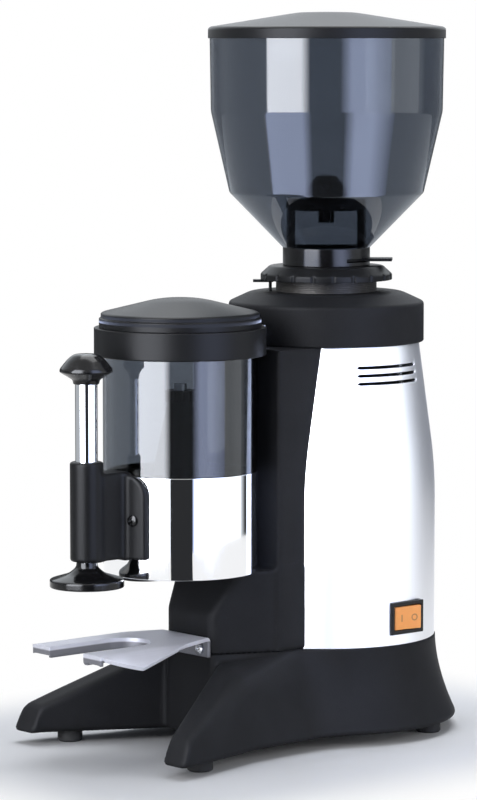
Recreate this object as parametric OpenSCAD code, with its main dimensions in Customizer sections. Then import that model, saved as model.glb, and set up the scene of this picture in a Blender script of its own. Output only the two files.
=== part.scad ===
// Electric coffee grinder with a dosing chamber, a press for the grounds and a bean hopper.
// Millimetres, +Z up. The origin lies under the middle of the footprint, on the counter.
// The operator stands on the -Y side and the mains switch is on the +X side.

/* [Layout] */
// Burr axis behind the middle of the footprint
burr_y = 85.75; // [80:0.25:92]
// Doser axis in front of the burr axis
doser_offset = 155.5; // [153:0.5:160]
// Room between the press disc and the drum
press_room = 4.6; // [4:0.1:8]

/* [Base] */
// Height of a rubber foot
foot_h = 9.4; // [7:0.1:12]
// Radius of a rubber foot
foot_r = 10; // [8:0.5:11]
// Sideways place of the feet
foot_x = 80.8; // [78:0.2:84]
// Front feet in front of the burr axis
foot_front = 204; // [198:1:210]
// Rear feet behind the burr axis
foot_rear = 39.8; // [36:0.2:44]
// Top of the base casting above the counter
base_top = 77; // [72:1:82]
// Radius of the flared rear edge of the base
flare_r = 108.3; // [105:0.1:112]
// Ledge of the base round the foot of the motor cover
shoulder_lip = 0.8; // [0.5:0.1:2]
// Outer front corner of a leg, sideways
leg_x = 108.5; // [104:0.5:112]
// Width of a leg's front face
leg_face_w = 28.5; // [24:0.5:34]
// Height of a leg's front face
leg_face_h = 20.6; // [16:0.2:24]
// Reach of the legs in front of the burr axis
leg_reach = 242; // [236:1:248]
// Half width of the base at the waist behind the legs
waist_x = 86; // [84:0.5:90]
// Radius of the open well under the motor
well_r = 70; // [66:1:72]
// Thickness of the sheet under the base
plate_t = 1.5; // [1:0.1:2]

/* [Column] */
// Half width of the upper column
column_half = 53; // [51:0.5:54]
// Half width of the lower block
block_half = 52; // [51.5:0.5:55]
// Front of the column before the burr axis
column_reach = 98; // [96:0.5:100]
// Front of the lower block before the burr axis
block_reach = 147; // [143:0.5:150]
// Half width of the lower block's front face
block_face_half = 28; // [26:0.5:32]
// Top of the column above the counter
column_top = 317; // [315:0.5:319]

/* [Motor cover] */
// Radius of the cover at its foot
cover_r = 89.2; // [88:0.1:89.5]
// Radius of the cover at its top
cover_top_r = 75.5; // [74:0.1:77]
// Height at which the cover starts to taper
cover_bend = 214; // [205:1:225]
// Thickness of the cover's sheet
cover_wall = 1.5; // [1:0.1:2]
// Topmost cooling slot below the cover's top
vent_drop = 16.2; // [14:0.1:19]
// Step between the cooling slots
vent_step = 6.35; // [5.5:0.05:6.5]
// Height of a cooling slot
vent_h = 2.6; // [2:0.1:3]
// Half angle of a cooling slot
vent_half = 24; // [20:1:28]

/* [Switch] */
// Width of the switch frame
switch_w = 34.9; // [32:0.1:36]
// Height of the switch frame
switch_h = 26.2; // [24:0.1:28]
// Middle of the switch behind the burr axis
switch_back = 7.2; // [4:0.2:10]
// Underside of the switch above the base
switch_up = 8.2; // [5:0.1:12]
// Lean of the rocker to either side
rocker_lean = 7; // [5:0.5:8]

/* [Grinding head] */
// Radius of the burr housing
housing_r = 79.5; // [79:0.1:82]
// Height of the housing's straight wall
housing_wall_h = 33; // [31:0.5:35]
// Height of the housing's sloping shoulder
shoulder_h = 7.3; // [6.5:0.1:8]
// Outer radius of the burrs
burr_r = 32; // [31:0.5:33]
// Inner radius of the burrs
burr_bore = 19; // [18:0.5:20]
// Thickness of a burr
burr_t = 6; // [5.5:0.1:6.5]
// Gap between the burrs
burr_gap = 0.6; // [0.3:0.1:0.8]
// Radius of the adjusting collar
collar_r = 53.6; // [52:0.2:55]
// Height of the adjusting collar
collar_h = 11.4; // [10.5:0.1:12]

/* [Hopper] */
// Outer radius of the hopper's neck
neck_r = 35.5; // [35:0.1:36.5]
// Height of the hopper's neck
neck_h = 14.7; // [14:0.1:16]
// Radius of the hopper's rim
rim_r = 95; // [90:0.5:98]
// Top of the lower cone above the neck
cone_h = 44.6; // [40:0.2:50]
// Radius at the top of the lower cone
cone_r = 78.9; // [75:0.1:82]
// Top of the bent band above the neck
band_h = 110.4; // [100:0.2:115]
// Rim above the neck
hopper_h = 175; // [165:0.5:180]
// Wall of the clear plastic pieces
clear_wall = 2.5; // [2:0.1:3]
// Direction of the gate's handle from +X towards +Y
gate_dir = 45; // [30:1:60]

/* [Doser] */
// Radius of the drum
drum_r = 61.1; // [60:0.1:61.5]
// Underside of the drum above the counter
drum_z = 142.5; // [141:0.5:144]
// Height of the drum
drum_h = 80; // [76:0.5:84]
// Rim of the fixed ring under the grounds chute
ring_rim = 6.2; // [5:0.1:7]
// Fixed ring under the lid beyond the drum
ring_over = 6.9; // [5:0.1:7]
// Height of the fixed ring
ring_h = 21.9; // [21:0.1:23]
// Doser lid inside the edge of the ring
lid_in = 4; // [3:0.5:6]
// Lever at rest, from +X towards +Y
lever_rest = 168; // [166:1:172]
// Swing of the lever
lever_swing = 60; // [50:1:60]

/* [Press] */
// Radius of the press shaft
shaft_r = 8.7; // [8:0.1:9]
// Radius of the press disc
disc_r = 29; // [28:0.1:29.5]
// Underside of the press disc below the drum
disc_drop = 4; // [2:0.5:6]
// Travel of the press
press_travel = 35; // [30:1:36]
// Radius of the press knob
knob_r = 20.85; // [19:0.05:22]

/* [Fork] */
// Top of the fork above the counter
fork_z = 91; // [88:0.5:94]
// Thickness of the fork's plate
fork_t = 3; // [2.5:0.1:3.5]
// Half width of the fork's slot
slot_half = 21; // [19:0.5:22]
// Slope of the fork's wings
wing_slope = 20; // [16:1:22]

/* [Fits] */
// Running clearance of a turning or sliding pair
run_gap = 0.08; // [0.05:0.01:0.1]
// Clearance between loose neighbours
loose_gap = 0.3; // [0.25:0.05:0.4]
// Clearance of a pressed or glued pair
press_gap = 0.02; // [0.01:0.01:0.03]

/* [Hidden] */
$fn = 96;
fine = 32;
doser_y = burr_y - doser_offset;
press_offset = drum_r + disc_r + press_room;
press_y = doser_y - press_offset;
// Base
shoulder_r = cover_r + shoulder_lip;
root_front = 90;
root_back = 55;
root_knee_z = 45;
knee_y = 151;
knee_inner = 33;
knee_top = 69;
base_wall = 6;
ledge_top = foot_h + 12;
upper_well_r = cover_r - cover_wall - 3.7;
plate_screw_ring = well_r + 4.5;
gland_z = 35;
gland_r = 8;
cord_r = 4;
gland_seat = flare_r - 12;
foot_places = [[-foot_x, -foot_front], [foot_x, -foot_front], [-foot_x, foot_rear], [foot_x, foot_rear]];
// Column and cover
column_back = 45;
column_wall = 6;
pocket_front = min(column_reach, doser_offset - drum_r) - column_wall;
block_lip = 32;
cover_top = column_top - loose_gap;
bend_half = 25;
housing_wall_top = column_top + housing_wall_h;
housing_top = housing_wall_top + shoulder_h;
housing_floor = column_top + 5;
shoulder_in = collar_r + 8;
// Burr stack
carrier_z = housing_floor + 1;
lower_burr_z = carrier_z + 8;
upper_burr_z = lower_burr_z + burr_t + burr_gap;
upper_carrier_z = upper_burr_z + burr_t;
burr_screw_ring = burr_r - 6.5;
chamber_r = burr_r + 4.5;
thread_r = chamber_r + 3;
collar_z = housing_top + 9.6;
collar_top = collar_z + collar_h;
collar_bore = neck_r - 2.5;
hopper_z = collar_top + neck_h;
lid_seat = hopper_z + hopper_h;
gate_z = collar_top + 3.7;
gate_t = 2.4;
throat_r = neck_r - 5.5;
blade_r = throat_r + 1;
lock_angle = 229;
lock_ring = thread_r + 6.1;
lock_tab_w = 10;
// Hopper guard
guard_lift = 31;
guard_r = 33;
guard_band = 9.6;
dome_r = 18.7;
dome_h = 28.3;
guard_stem_r = 6.5;
guard_leg_r = neck_r - clear_wall - 0.6;
guard_leg_t = 5;
guard_leg_half = 22;
lock_pin_r = 1.3;
// Motor
motor_shaft_r = 7;
stator_r = 56;
stator_bore = 30.6;
rotor_r = stator_bore - 0.5;
stator_h = 65;
winding_h = 16;
rod_r = 2.5;
rod_ring = stator_r + 4.5;
bearing_r = 16;
bearing_h = 8;
shield_t = 12;
top_shield_z = column_top - shield_t;
low_shield_z = 96;
stator_z = low_shield_z + shield_t + winding_h + 12;
motor_room = rod_ring + 5.5;
capacitor_angle = 112;
capacitor_r = upper_well_r - well_r - 1;
capacitor_cap = 4;
capacitor_h = low_shield_z - ledge_top - capacitor_cap - 2.6;
block_w = 44;
block_d = 18;
block_h = 17;
// Switch
switch_x = cover_r + 1.6;
switch_z = base_top + switch_up + switch_h / 2;
switch_frame = 10;
switch_back_x = motor_room + 2.8;
rocker_pivot = 5;
bezel = 3;
// Doser
drum_wall = 1.6;
chute_half = 14;
chute_h = 14;
chute_wall = 2;
chute_z = housing_floor - chute_wall;
window_z = drum_z + drum_h;
ring_z = chute_z - ring_rim;
window_h = ring_z - window_z;
ring_r = drum_r + ring_over;
lid_r = ring_r - lid_in;
ring_bore = drum_r - clear_wall;
lid_z = ring_z + ring_h;
spindle_r = 5;
floor_t = 4.5;
ratchet_z = drum_z + floor_t + 0.6;
ratchet_r = 16;
ratchet_t = 3.5;
lever_z = ratchet_z + ratchet_t + 0.4;
lever_t = 5;
lever_w = 10;
lever_hub_r = 15;
lever_reach = drum_r + 33.9;
sieve_z = drum_z + 19.5;
sieve_t = 2.5;
star_z = sieve_z + sieve_t + 0.5;
vane_h = 47;
hub_r = 26;
hub_h = 112;
outlet_r = 15;
outlet_wall = 3;
outlet_front = drum_r - drum_wall - outlet_r - 6.5;
// Press
disc_z = drum_z - disc_drop;
disc_edge = 6.4;
disc_neck_z = 16;
bracket_z = disc_z + disc_neck_z + 4.1;
bracket_h = 72;
nose_h = bracket_h + 5.5;
bracket_floor = 11;
saddle_r = drum_r + 0.05;
saddle_t = 5;
saddle_half = 28;
saddle_top = bracket_z + 65.5;
saddle_screws = [[-16, 30.5], [16, 30.5]];
nose_r = shaft_r + 4.3;
thin_r = shaft_r - 2.7;
shaft_step = bracket_z + bracket_floor + press_travel + 9;
knob_z = bracket_z + bracket_h + press_travel + 30.8;
knob_waist = 10.8;
knob_crown = 13.2;
shaft_top = knob_z + knob_waist + knob_crown - 4.8;
// Fork
fork_rear = block_reach;
fork_neck_half = block_face_half - 1.5;
fork_screw_x = 17;
flange_h = 16;
fold_x = 40;
fork_tip = 271;
slot_end = doser_offset + outlet_front - 1.5;
flat_back = 185;
wing_w = 24;
wing_root = flat_back - 1;
wing_back = 243;
wing_curve = 80;
wing_curve_x = -45.3;
wing_curve_y = fork_tip - 65.9;
// Rims turned down around the slot and along the front
rim_t = 2.2;
slot_rim = 9;
front_rim = 7;

// Frames of the three vertical axes
module at_burr() { translate([0, burr_y, 0]) children(); }
module at_doser() { translate([0, doser_y, 0]) children(); }
module at_press() { translate([0, press_y, 0]) children(); }

// A ring or a disc between two heights
module tube(r, bore, z, h) {
    translate([0, 0, z])
        difference() {
            cylinder(r = r, h = h);
            if (bore > 0) translate([0, 0, -1]) cylinder(r = bore, h = h + 2);
        }
}

// A box by its middle in plan and its underside
module block(w, d, z, h) {
    translate([-w / 2, -d / 2, z]) cube([w, d, h]);
}

// A solid of revolution from its half outline
module turned(outline) { rotate_extrude() polygon(outline); }

// Points of an arc in a half outline
function arc(cx, cy, r, a0, a1, n) =
    [for (i = [0:n]) let (a = a0 + (a1 - a0) * i / n) [cx + r * cos(a), cy + r * sin(a)]];

// A pan head with its shank, pointing up from its seat
module pan_screw(head_r, head_h, shank_r, length) {
    intersection() {
        translate([0, 0, -head_h]) cylinder(r = head_r, h = head_h);
        translate([0, 0, head_r * 0.9]) sphere(r = head_r * 0.9 + head_h);
    }
    translate([0, 0, -0.01]) cylinder(r = shank_r, h = length);
}

// Radius of the flared base at a height
function flare_at(z) =
    shoulder_r + (flare_r - shoulder_r) * pow(1 - (z - foot_h) / (base_top - foot_h), 1.8);

// Plan of the lower block, which the base carries down to its underside, inset by a wall
module block_plan(inset = 0) {
    polygon([[-block_half + inset, -column_back - inset], [-block_half + inset, -column_reach],
        [-block_face_half + inset, -block_reach + inset], [block_face_half - inset, -block_reach + inset],
        [block_half - inset, -column_reach], [block_half - inset, -column_back - inset]]);
}

// A thin cross section of a leg, standing across the grinder
module leg_section(y, outline) {
    translate([0, -y + 0.5, 0]) rotate([90, 0, 0]) linear_extrude(1) polygon(outline);
}

// One leg with its root, on the +X side
module leg() {
    face = [[leg_x - leg_face_w, foot_h], [leg_x, foot_h], [leg_x - 2, foot_h + leg_face_h],
        [leg_x - leg_face_w + 2, foot_h + leg_face_h]];
    knee = [[knee_inner, foot_h], [waist_x + 2, foot_h], [waist_x - 10, knee_top - 8],
        [waist_x - 22, knee_top], [knee_inner + 3, knee_top]];
    root = [[0, foot_h], [waist_x, foot_h], [waist_x - 14, root_knee_z], [waist_x - 30, base_top],
        [0, base_top]];
    front = [for (p = face) [p[0], foot_h + (p[1] - foot_h) * 0.02]];
    hull() {
        leg_section(leg_reach - 0.5, front);
        leg_section(leg_reach - 7.5, face);
        leg_section(knee_y, knee);
    }
    hull() {
        leg_section(knee_y, knee);
        leg_section(root_front, root);
    }
    translate([0, -root_back, 0]) rotate([90, 0, 0]) linear_extrude(root_front - root_back) polygon(root);
}

module base_casting() {
    steps = 12;
    edge = [for (i = [0:steps])
        let (z = foot_h + 2 + (base_top - foot_h - 2) * i / steps) [flare_at(z), z]];
    color([0.13, 0.13, 0.14]) at_burr()
        difference() {
            union() {
                turned(concat([[0, foot_h], [flare_at(foot_h + 2) - 1.5, foot_h]], edge,
                    [[0, base_top]]));
                translate([0, 0, foot_h]) linear_extrude(base_top - foot_h) block_plan();
                leg();
                mirror([1, 0, 0]) leg();
            }
            tube(well_r, 0, foot_h - 1, base_top);
            tube(upper_well_r, 0, ledge_top, base_top);
            tube(well_r + 9, 0, foot_h - 1, plate_t + 1);
            difference() {
                translate([0, 0, foot_h - 1]) linear_extrude(base_top - foot_h - base_wall)
                    block_plan(base_wall);
                tube(upper_well_r + base_wall, 0, 0, base_top);
            }
            for (p = foot_places) translate([p[0], p[1], foot_h - 1]) cylinder(r = 2.6, h = 13);
            for (a = [45:90:315]) rotate(a) translate([plate_screw_ring, 0, 0])
                cylinder(r = 1.6, h = foot_h + 10);
            translate([0, well_r - 10, gland_z]) rotate([-90, 0, 0])
                cylinder(r = gland_r + loose_gap, h = 60);
            translate([0, gland_seat, gland_z]) rotate([-90, 0, 0]) cylinder(r = gland_r + 3.5, h = 30);
        }
}

module base_plate() {
    color([0.55, 0.56, 0.58]) at_burr()
        difference() {
            tube(well_r + 8.5, 0, foot_h, plate_t);
            for (a = [45:90:315])
                rotate(a) translate([plate_screw_ring, 0, foot_h - 1]) cylinder(r = 1.7, h = plate_t + 2);
        }
}

module base_plate_screws() {
    color([0.7, 0.7, 0.72]) at_burr()
        for (a = [45:90:315])
            rotate(a) translate([plate_screw_ring, 0, foot_h]) pan_screw(3.2, 1.8, 1.5, 9);
}

module rubber_feet() {
    color([0.08, 0.08, 0.08]) at_burr()
        for (p = foot_places)
            translate([p[0], p[1], 0])
                difference() {
                    turned([[0, 0], [foot_r - 1.2, 0], [foot_r, 1.2], [foot_r, foot_h], [0, foot_h]]);
                    translate([0, 0, -1]) cylinder(r = foot_r * 0.5, h = 6);
                    cylinder(r = 2.7, h = foot_h + 1);
                }
}

module feet_screws() {
    color([0.7, 0.7, 0.72]) at_burr()
        for (p = foot_places) translate([p[0], p[1], 5]) pan_screw(4.4, 2.4, 2.5, foot_h + 5);
}

module front_column() {
    slope = drum_z - base_top - block_lip;
    side = [[-column_back, base_top], [-block_reach, base_top], [-block_reach, base_top + block_lip],
        [-block_reach + 11, base_top + block_lip + 0.54 * slope], [-block_reach + 21, drum_z],
        [-column_back, drum_z]];
    color([0.12, 0.12, 0.13]) at_burr()
        difference() {
            union() {
                intersection() {
                    translate([0, 0, base_top]) linear_extrude(drum_z - base_top) block_plan();
                    rotate([90, 0, 90]) linear_extrude(2 * block_half, center = true) polygon(side);
                }
                translate([-column_half, -column_reach, drum_z - 1])
                    cube([2 * column_half, column_reach - column_back, column_top - drum_z + 1]);
            }
            tube(motor_room, 0, base_top - 1, column_top);
            translate([-column_half + column_wall, -pocket_front, base_top + column_wall])
                cube([2 * (column_half - column_wall), pocket_front,
                    column_top - base_top - 2 * column_wall]);
            translate([0, 0, base_top - 1]) linear_extrude(block_lip + 17) block_plan(column_wall + 8);
            translate([0, -doser_offset, drum_z]) cylinder(r = drum_r + loose_gap, h = column_top);
            translate([0, -doser_offset, ring_z - loose_gap])
                cylinder(r = ring_r + loose_gap, h = column_top);
        }
}

// Half outline of the motor cover, inset by a distance
function cover_outline(inset) =
    concat([[cover_r - inset, base_top], [cover_r - inset, cover_bend - bend_half]],
        [for (i = [1:8])
            let (t = i / 8, drop = (cover_r - cover_top_r) / (cover_top - cover_bend))
            [cover_r - inset - drop * bend_half * t * t, cover_bend + bend_half * (2 * t - 1)]],
        [[cover_top_r - inset, cover_top]]);

module motor_cover() {
    outer = cover_outline(0);
    inner = cover_outline(cover_wall);
    back = [for (i = [len(inner) - 1:-1:0]) inner[i]];
    color([0.86, 0.87, 0.89]) at_burr()
        difference() {
            turned(concat(outer, back));
            translate([-column_half - loose_gap, -2 * cover_r, drum_z - 1])
                cube([2 * (column_half + loose_gap), 2 * cover_r, column_top]);
            translate([-block_half - loose_gap, -2 * cover_r, base_top - 1])
                cube([2 * (block_half + loose_gap), 2 * cover_r, drum_z - base_top + 1 + loose_gap]);
            for (side = [0, 180], i = [0:2])
                rotate(side - vent_half)
                    translate([0, 0, cover_top - vent_drop - i * vent_step - vent_h / 2])
                    rotate_extrude(angle = 2 * vent_half)
                        translate([cover_top_r - 4, 0]) square([12, vent_h]);
            translate([switch_back_x, switch_back - switch_w / 2 - loose_gap,
                switch_z - switch_h / 2 - loose_gap])
                cube([cover_r, switch_w + 2 * loose_gap, switch_h + 2 * loose_gap]);
        }
}

module burr_housing() {
    color([0.11, 0.11, 0.12]) at_burr()
        difference() {
            turned([[0, column_top], [housing_r - 1, column_top], [housing_r, column_top + 1],
                [housing_r, housing_wall_top - 2], [housing_r - 1.5, housing_wall_top],
                [shoulder_in, housing_top], [0, housing_top]]);
            tube(motor_shaft_r + 1, 0, column_top - 1, 20);
            tube(chamber_r, 0, housing_floor, 60);
            tube(thread_r + 0.4, 0, upper_carrier_z - 0.6, 60);
            tube(housing_r - 4.5, thread_r + 5, column_top - 1, housing_wall_h - 5);
            translate([-chute_half - loose_gap, -2 * housing_r, chute_z])
                cube([2 * (chute_half + loose_gap), 2 * housing_r - chamber_r + 1, chute_h + loose_gap]);
            rotate(lock_angle) translate([lock_ring, 0, housing_top - 9])
                cylinder(r = lock_pin_r + run_gap, h = 20, $fn = fine);
        }
}

module motor_stator() {
    color([0.45, 0.46, 0.48]) at_burr() tube(stator_r, stator_bore, stator_z, stator_h);
}

module motor_windings() {
    color([0.72, 0.4, 0.2]) at_burr() {
        tube(stator_r - 4, stator_bore + 2, stator_z - winding_h, winding_h);
        tube(stator_r - 4, stator_bore + 2, stator_z + stator_h, winding_h);
    }
}

module motor_rotor() {
    color([0.5, 0.5, 0.52]) at_burr()
        tube(rotor_r, motor_shaft_r + press_gap, stator_z - 3, stator_h + 6);
}

module motor_shaft() {
    color([0.75, 0.76, 0.78]) at_burr() {
        tube(motor_shaft_r, 0, low_shield_z - 6, lower_burr_z - low_shield_z + 6);
        tube(motor_shaft_r + 3, 0, lower_burr_z, 4);
    }
}

module upper_bearing() {
    color([0.7, 0.71, 0.73]) at_burr()
        tube(bearing_r, motor_shaft_r + run_gap, top_shield_z, bearing_h);
}

module lower_bearing() {
    color([0.7, 0.71, 0.73]) at_burr()
        tube(bearing_r, motor_shaft_r + run_gap, low_shield_z + shield_t - bearing_h, bearing_h);
}

module motor_top_shield() {
    color([0.66, 0.67, 0.69]) at_burr()
        difference() {
            tube(motor_room - 0.5, motor_shaft_r + 1, top_shield_z, column_top - top_shield_z);
            tube(bearing_r + press_gap, 0, top_shield_z - 1, bearing_h + 1);
            for (a = [45:90:315]) rotate(a) translate([rod_ring, 0, top_shield_z - 1])
                cylinder(r = rod_r + press_gap, h = 9);
        }
}

module motor_lower_shield() {
    color([0.66, 0.67, 0.69]) at_burr()
        difference() {
            tube(rod_ring + 4, motor_shaft_r + 1, low_shield_z, shield_t);
            tube(bearing_r + press_gap, 0, low_shield_z + shield_t - bearing_h, bearing_h + 1);
            for (a = [45:90:315]) rotate(a) translate([rod_ring, 0, low_shield_z - 1])
                cylinder(r = rod_r + press_gap, h = shield_t + 2);
            for (a = [0:90:270]) rotate(a) translate([38, 0, low_shield_z - 1])
                cylinder(r = 11, h = shield_t + 2);
        }
}

module motor_tie_rods() {
    color([0.7, 0.7, 0.72]) at_burr()
        for (a = [45:90:315]) rotate(a) translate([rod_ring, 0, low_shield_z - 4]) {
            cylinder(r = rod_r, h = top_shield_z - low_shield_z + 11);
            cylinder(r = rod_r + 1.5, h = 4);
        }
}

module capacitor() {
    color([0.82, 0.82, 0.8]) at_burr()
        rotate(capacitor_angle) translate([well_r, 0, ledge_top]) {
            cylinder(r = capacitor_r, h = capacitor_h);
            translate([0, 0, capacitor_h]) cylinder(r = capacitor_r - 3, h = capacitor_cap);
        }
}

module terminal_block() {
    color([0.85, 0.84, 0.78]) at_burr()
        translate([0, well_r / 2, foot_h + plate_t])
            difference() {
                block(block_w, block_d, 0, block_h);
                for (i = [-1.5:1:1.5]) translate([i * block_w / 4.4, 0, block_h / 2])
                    cylinder(r = 2.5, h = block_h);
            }
}

module cord_gland() {
    inner = well_r - 8;
    color([0.09, 0.09, 0.1]) at_burr()
        translate([0, 0, gland_z]) rotate([-90, 0, 0])
            difference() {
                union() {
                    tube(gland_r, 0, inner, gland_seat - inner);
                    tube(gland_r + 3, 0, gland_seat, 5);
                }
                translate([0, 0, inner - 1]) cylinder(r = cord_r, h = 60);
            }
}

module switch_housing() {
    color([0.06, 0.06, 0.06]) at_burr()
        translate([switch_x, switch_back, switch_z])
            difference() {
                union() {
                    translate([-switch_frame, -switch_w / 2, -switch_h / 2])
                        cube([switch_frame, switch_w, switch_h]);
                    translate([switch_back_x - switch_x, -switch_w / 2 + 4, -switch_h / 2 + 3])
                        cube([switch_x - switch_back_x - switch_frame + 1, switch_w - 8, switch_h - 6]);
                }
                translate([1.5 - switch_frame, bezel - switch_w / 2, bezel + 0.4 - switch_h / 2])
                    cube([switch_frame, switch_w - 2 * bezel, switch_h - 2 * bezel - 0.8]);
            }
}

// The rocker turns about an upright axis, and its ends are round about that axis
module switch_rocker() {
    half = switch_w / 2 - bezel - loose_gap;
    color([0.95, 0.5, 0.12]) at_burr()
        translate([switch_x - rocker_pivot, switch_back, switch_z]) rotate(-rocker_lean)
            intersection() {
                cylinder(r = half, h = switch_h - 2 * bezel - 1.5, center = true);
                linear_extrude(switch_h, center = true)
                    polygon([[-1.2, -2], [2.6, -half - 1], [6.4, -half - 1], [4.9, 0],
                        [6.4, half + 1], [2.6, half + 1], [-1.2, 2]]);
            }
}

module lower_burr_carrier() {
    color([0.75, 0.76, 0.78]) at_burr()
        difference() {
            union() {
                tube(burr_r, 0, carrier_z, lower_burr_z - carrier_z);
                for (a = [0:120:240]) rotate(a) translate([0, -3, carrier_z]) cube([burr_r + 3.5, 6, 5]);
            }
            tube(motor_shaft_r + press_gap, 0, carrier_z - 1, 20);
            for (a = [60:120:300]) rotate(a) translate([burr_screw_ring, 0, carrier_z - 1])
                cylinder(r = 1.7, h = 20);
        }
}

// A flat burr with its cutting slots, lying on its back
module burr(teeth, z, up) {
    cut_z = up > 0 ? z + burr_t - 1.6 : z - 0.4;
    difference() {
        tube(burr_r, burr_bore, z, burr_t);
        for (i = [0:teeth - 1])
            rotate(i * 360 / teeth) translate([burr_bore + 4, 4, cut_z]) rotate(-18) cube([20, 1.6, 2]);
        for (a = [60:120:300]) rotate(a) translate([burr_screw_ring, 0, z - 1])
            cylinder(r = 1.7, h = burr_t + 2);
        for (a = [60:120:300]) rotate(a) translate([burr_screw_ring, 0, up > 0 ? z + burr_t - 3 : z - 1])
            cylinder(r = 3.2, h = 4);
    }
}

// Three screws that hold a burr on its carrier
module burr_screws(z, up) {
    for (a = [60:120:300]) rotate(a) translate([burr_screw_ring, 0, 0]) {
        tube(3, 0, up > 0 ? z + burr_t - 3 : z + 1.2, 1.8);
        tube(1.5, 0, up > 0 ? z - 5 : z + 2.9, burr_t + 2.1);
    }
}

module lower_burr() { color([0.62, 0.63, 0.65]) at_burr() burr(12, lower_burr_z, 1); }

module lower_burr_screws() { color([0.5, 0.5, 0.52]) at_burr() burr_screws(lower_burr_z, 1); }

module upper_burr() { color([0.62, 0.63, 0.65]) at_burr() burr(12, upper_burr_z, -1); }

module upper_burr_screws() { color([0.5, 0.5, 0.52]) at_burr() burr_screws(upper_burr_z, -1); }

module upper_burr_carrier() {
    color([0.16, 0.15, 0.13]) at_burr()
        difference() {
            turned([[burr_bore + 1, upper_carrier_z], [thread_r, upper_carrier_z],
                [thread_r, housing_top + 0.3], [thread_r + 1.5, housing_top + 0.3],
                [thread_r + 1.5, collar_z], [collar_bore - 2, collar_z]]);
            for (a = [60:120:300])
                rotate(a) translate([burr_screw_ring, 0, upper_carrier_z - 1]) cylinder(r = 1.7, h = 7);
        }
}

module adjusting_collar() {
    grips = 20;
    color([0.1, 0.1, 0.11]) at_burr()
        difference() {
            turned([[collar_bore, collar_z], [collar_r, collar_z], [collar_r, collar_z + 4.6],
                [collar_r - 7.5, collar_top], [collar_bore, collar_top]]);
            for (i = [0:grips - 1])
                rotate(i * 360 / grips) translate([collar_r + 1.2, 0, collar_z - 1])
                    cylinder(r = 2.4, h = 20);
        }
}

// A sprung pin with a thumb tab, which the operator presses to free the collar
module collar_lock() {
    tab_z = collar_z - loose_gap - 2;
    color([0.1, 0.1, 0.11]) at_burr() rotate(lock_angle) {
        translate([lock_ring, 0, housing_top - 5])
            cylinder(r = lock_pin_r, h = tab_z - housing_top + 6, $fn = fine);
        translate([lock_ring - 2.5, -lock_tab_w / 2, tab_z])
            cube([collar_r + 8.6 - lock_ring, lock_tab_w, 2]);
    }
}

module hopper_neck() {
    color([0.07, 0.07, 0.08]) at_burr()
        difference() {
            union() {
                tube(neck_r, 0, collar_top, neck_h);
                tube(collar_bore - loose_gap, 0, collar_top - 10, 11);
            }
            tube(throat_r, 0, collar_top - 11, neck_h + 20);
            tube(blade_r + loose_gap, 0, gate_z - loose_gap, gate_t + 2 * loose_gap);
            rotate(gate_dir) translate([0, -blade_r - loose_gap, gate_z - loose_gap])
                cube([neck_r + 5, 2 * (blade_r + loose_gap), gate_t + 2 * loose_gap]);
        }
}

module hopper() {
    profile = [[neck_r, 0], [cone_r, cone_h], [rim_r - 1, band_h], [rim_r, hopper_h]];
    outer = [for (p = profile) [p[0], hopper_z + p[1]]];
    inner = [for (i = [len(profile) - 1:-1:0]) [profile[i][0] - clear_wall, hopper_z + profile[i][1]]];
    color([0.36, 0.42, 0.46, 0.5]) at_burr() turned(concat(outer, inner));
}

// A bridge over the throat, with a dome that spreads the beans
module finger_guard() {
    band_z = hopper_z + guard_lift;
    dome_z = band_z + dome_h;
    color([0.07, 0.07, 0.08]) at_burr() {
        turned([[0, band_z], [guard_r - 2, band_z], [guard_r, band_z + 2],
            [guard_r, band_z + 0.6 * guard_band],
            [guard_r - 3, band_z + guard_band], [dome_r, band_z + guard_band + 1.4],
            [0.75 * dome_r, dome_z - 0.3 * dome_h], [0.43 * dome_r, dome_z - 1.3], [0, dome_z]]);
        tube(guard_stem_r, 0, band_z - guard_lift / 3, guard_lift / 3);
        for (side = [0, 180]) rotate(side + gate_dir + 4 - guard_leg_half) translate([0, 0, hopper_z])
            rotate_extrude(angle = 2 * guard_leg_half)
                translate([guard_leg_r - guard_leg_t, 0]) square([guard_leg_t, guard_lift]);
    }
}

module hopper_gate() {
    color([0.08, 0.08, 0.09]) at_burr() rotate(gate_dir) {
        tube(blade_r, 0, gate_z, gate_t);
        translate([0, -10, gate_z]) cube([collar_r, 20, gate_t]);
    }
}

module hopper_lid() {
    skirt_r = rim_r + loose_gap + 1;
    color([0.16, 0.16, 0.17]) at_burr()
        difference() {
            turned([[0, lid_seat - 6], [skirt_r, lid_seat - 6], [skirt_r, lid_seat + 2.5],
                [skirt_r - 2, lid_seat + 3.5], [34, lid_seat + 13.2], [22, lid_seat + 15],
                    [0, lid_seat + 15.4]]);
            tube(rim_r + loose_gap, rim_r - clear_wall - 1, lid_seat - 7, 7);
            turned([[0, lid_seat - 7], [rim_r - clear_wall - 3, lid_seat - 7],
                [rim_r - clear_wall - 3, lid_seat + 0.5], [28, lid_seat + 9], [0, lid_seat + 10]]);
        }
}

module grounds_chute() {
    front = doser_offset - ring_bore;
    color([0.6, 0.61, 0.63]) at_burr()
        difference() {
            translate([-chute_half, -front, chute_z])
                cube([2 * chute_half, front - chamber_r - 0.5, chute_h]);
            translate([chute_wall - chute_half, -front - 1, chute_z + chute_wall])
                cube([2 * (chute_half - chute_wall), front, chute_h - 2 * chute_wall]);
        }
}

module doser_floor() {
    color([0.62, 0.63, 0.65]) at_doser()
        difference() {
            tube(drum_r - drum_wall - 0.05, spindle_r + run_gap, drum_z, floor_t);
            translate([0, -outlet_front, drum_z - 1])
                cylinder(r = outlet_r + outlet_wall + 0.2, h = floor_t + 2);
        }
}

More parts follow.
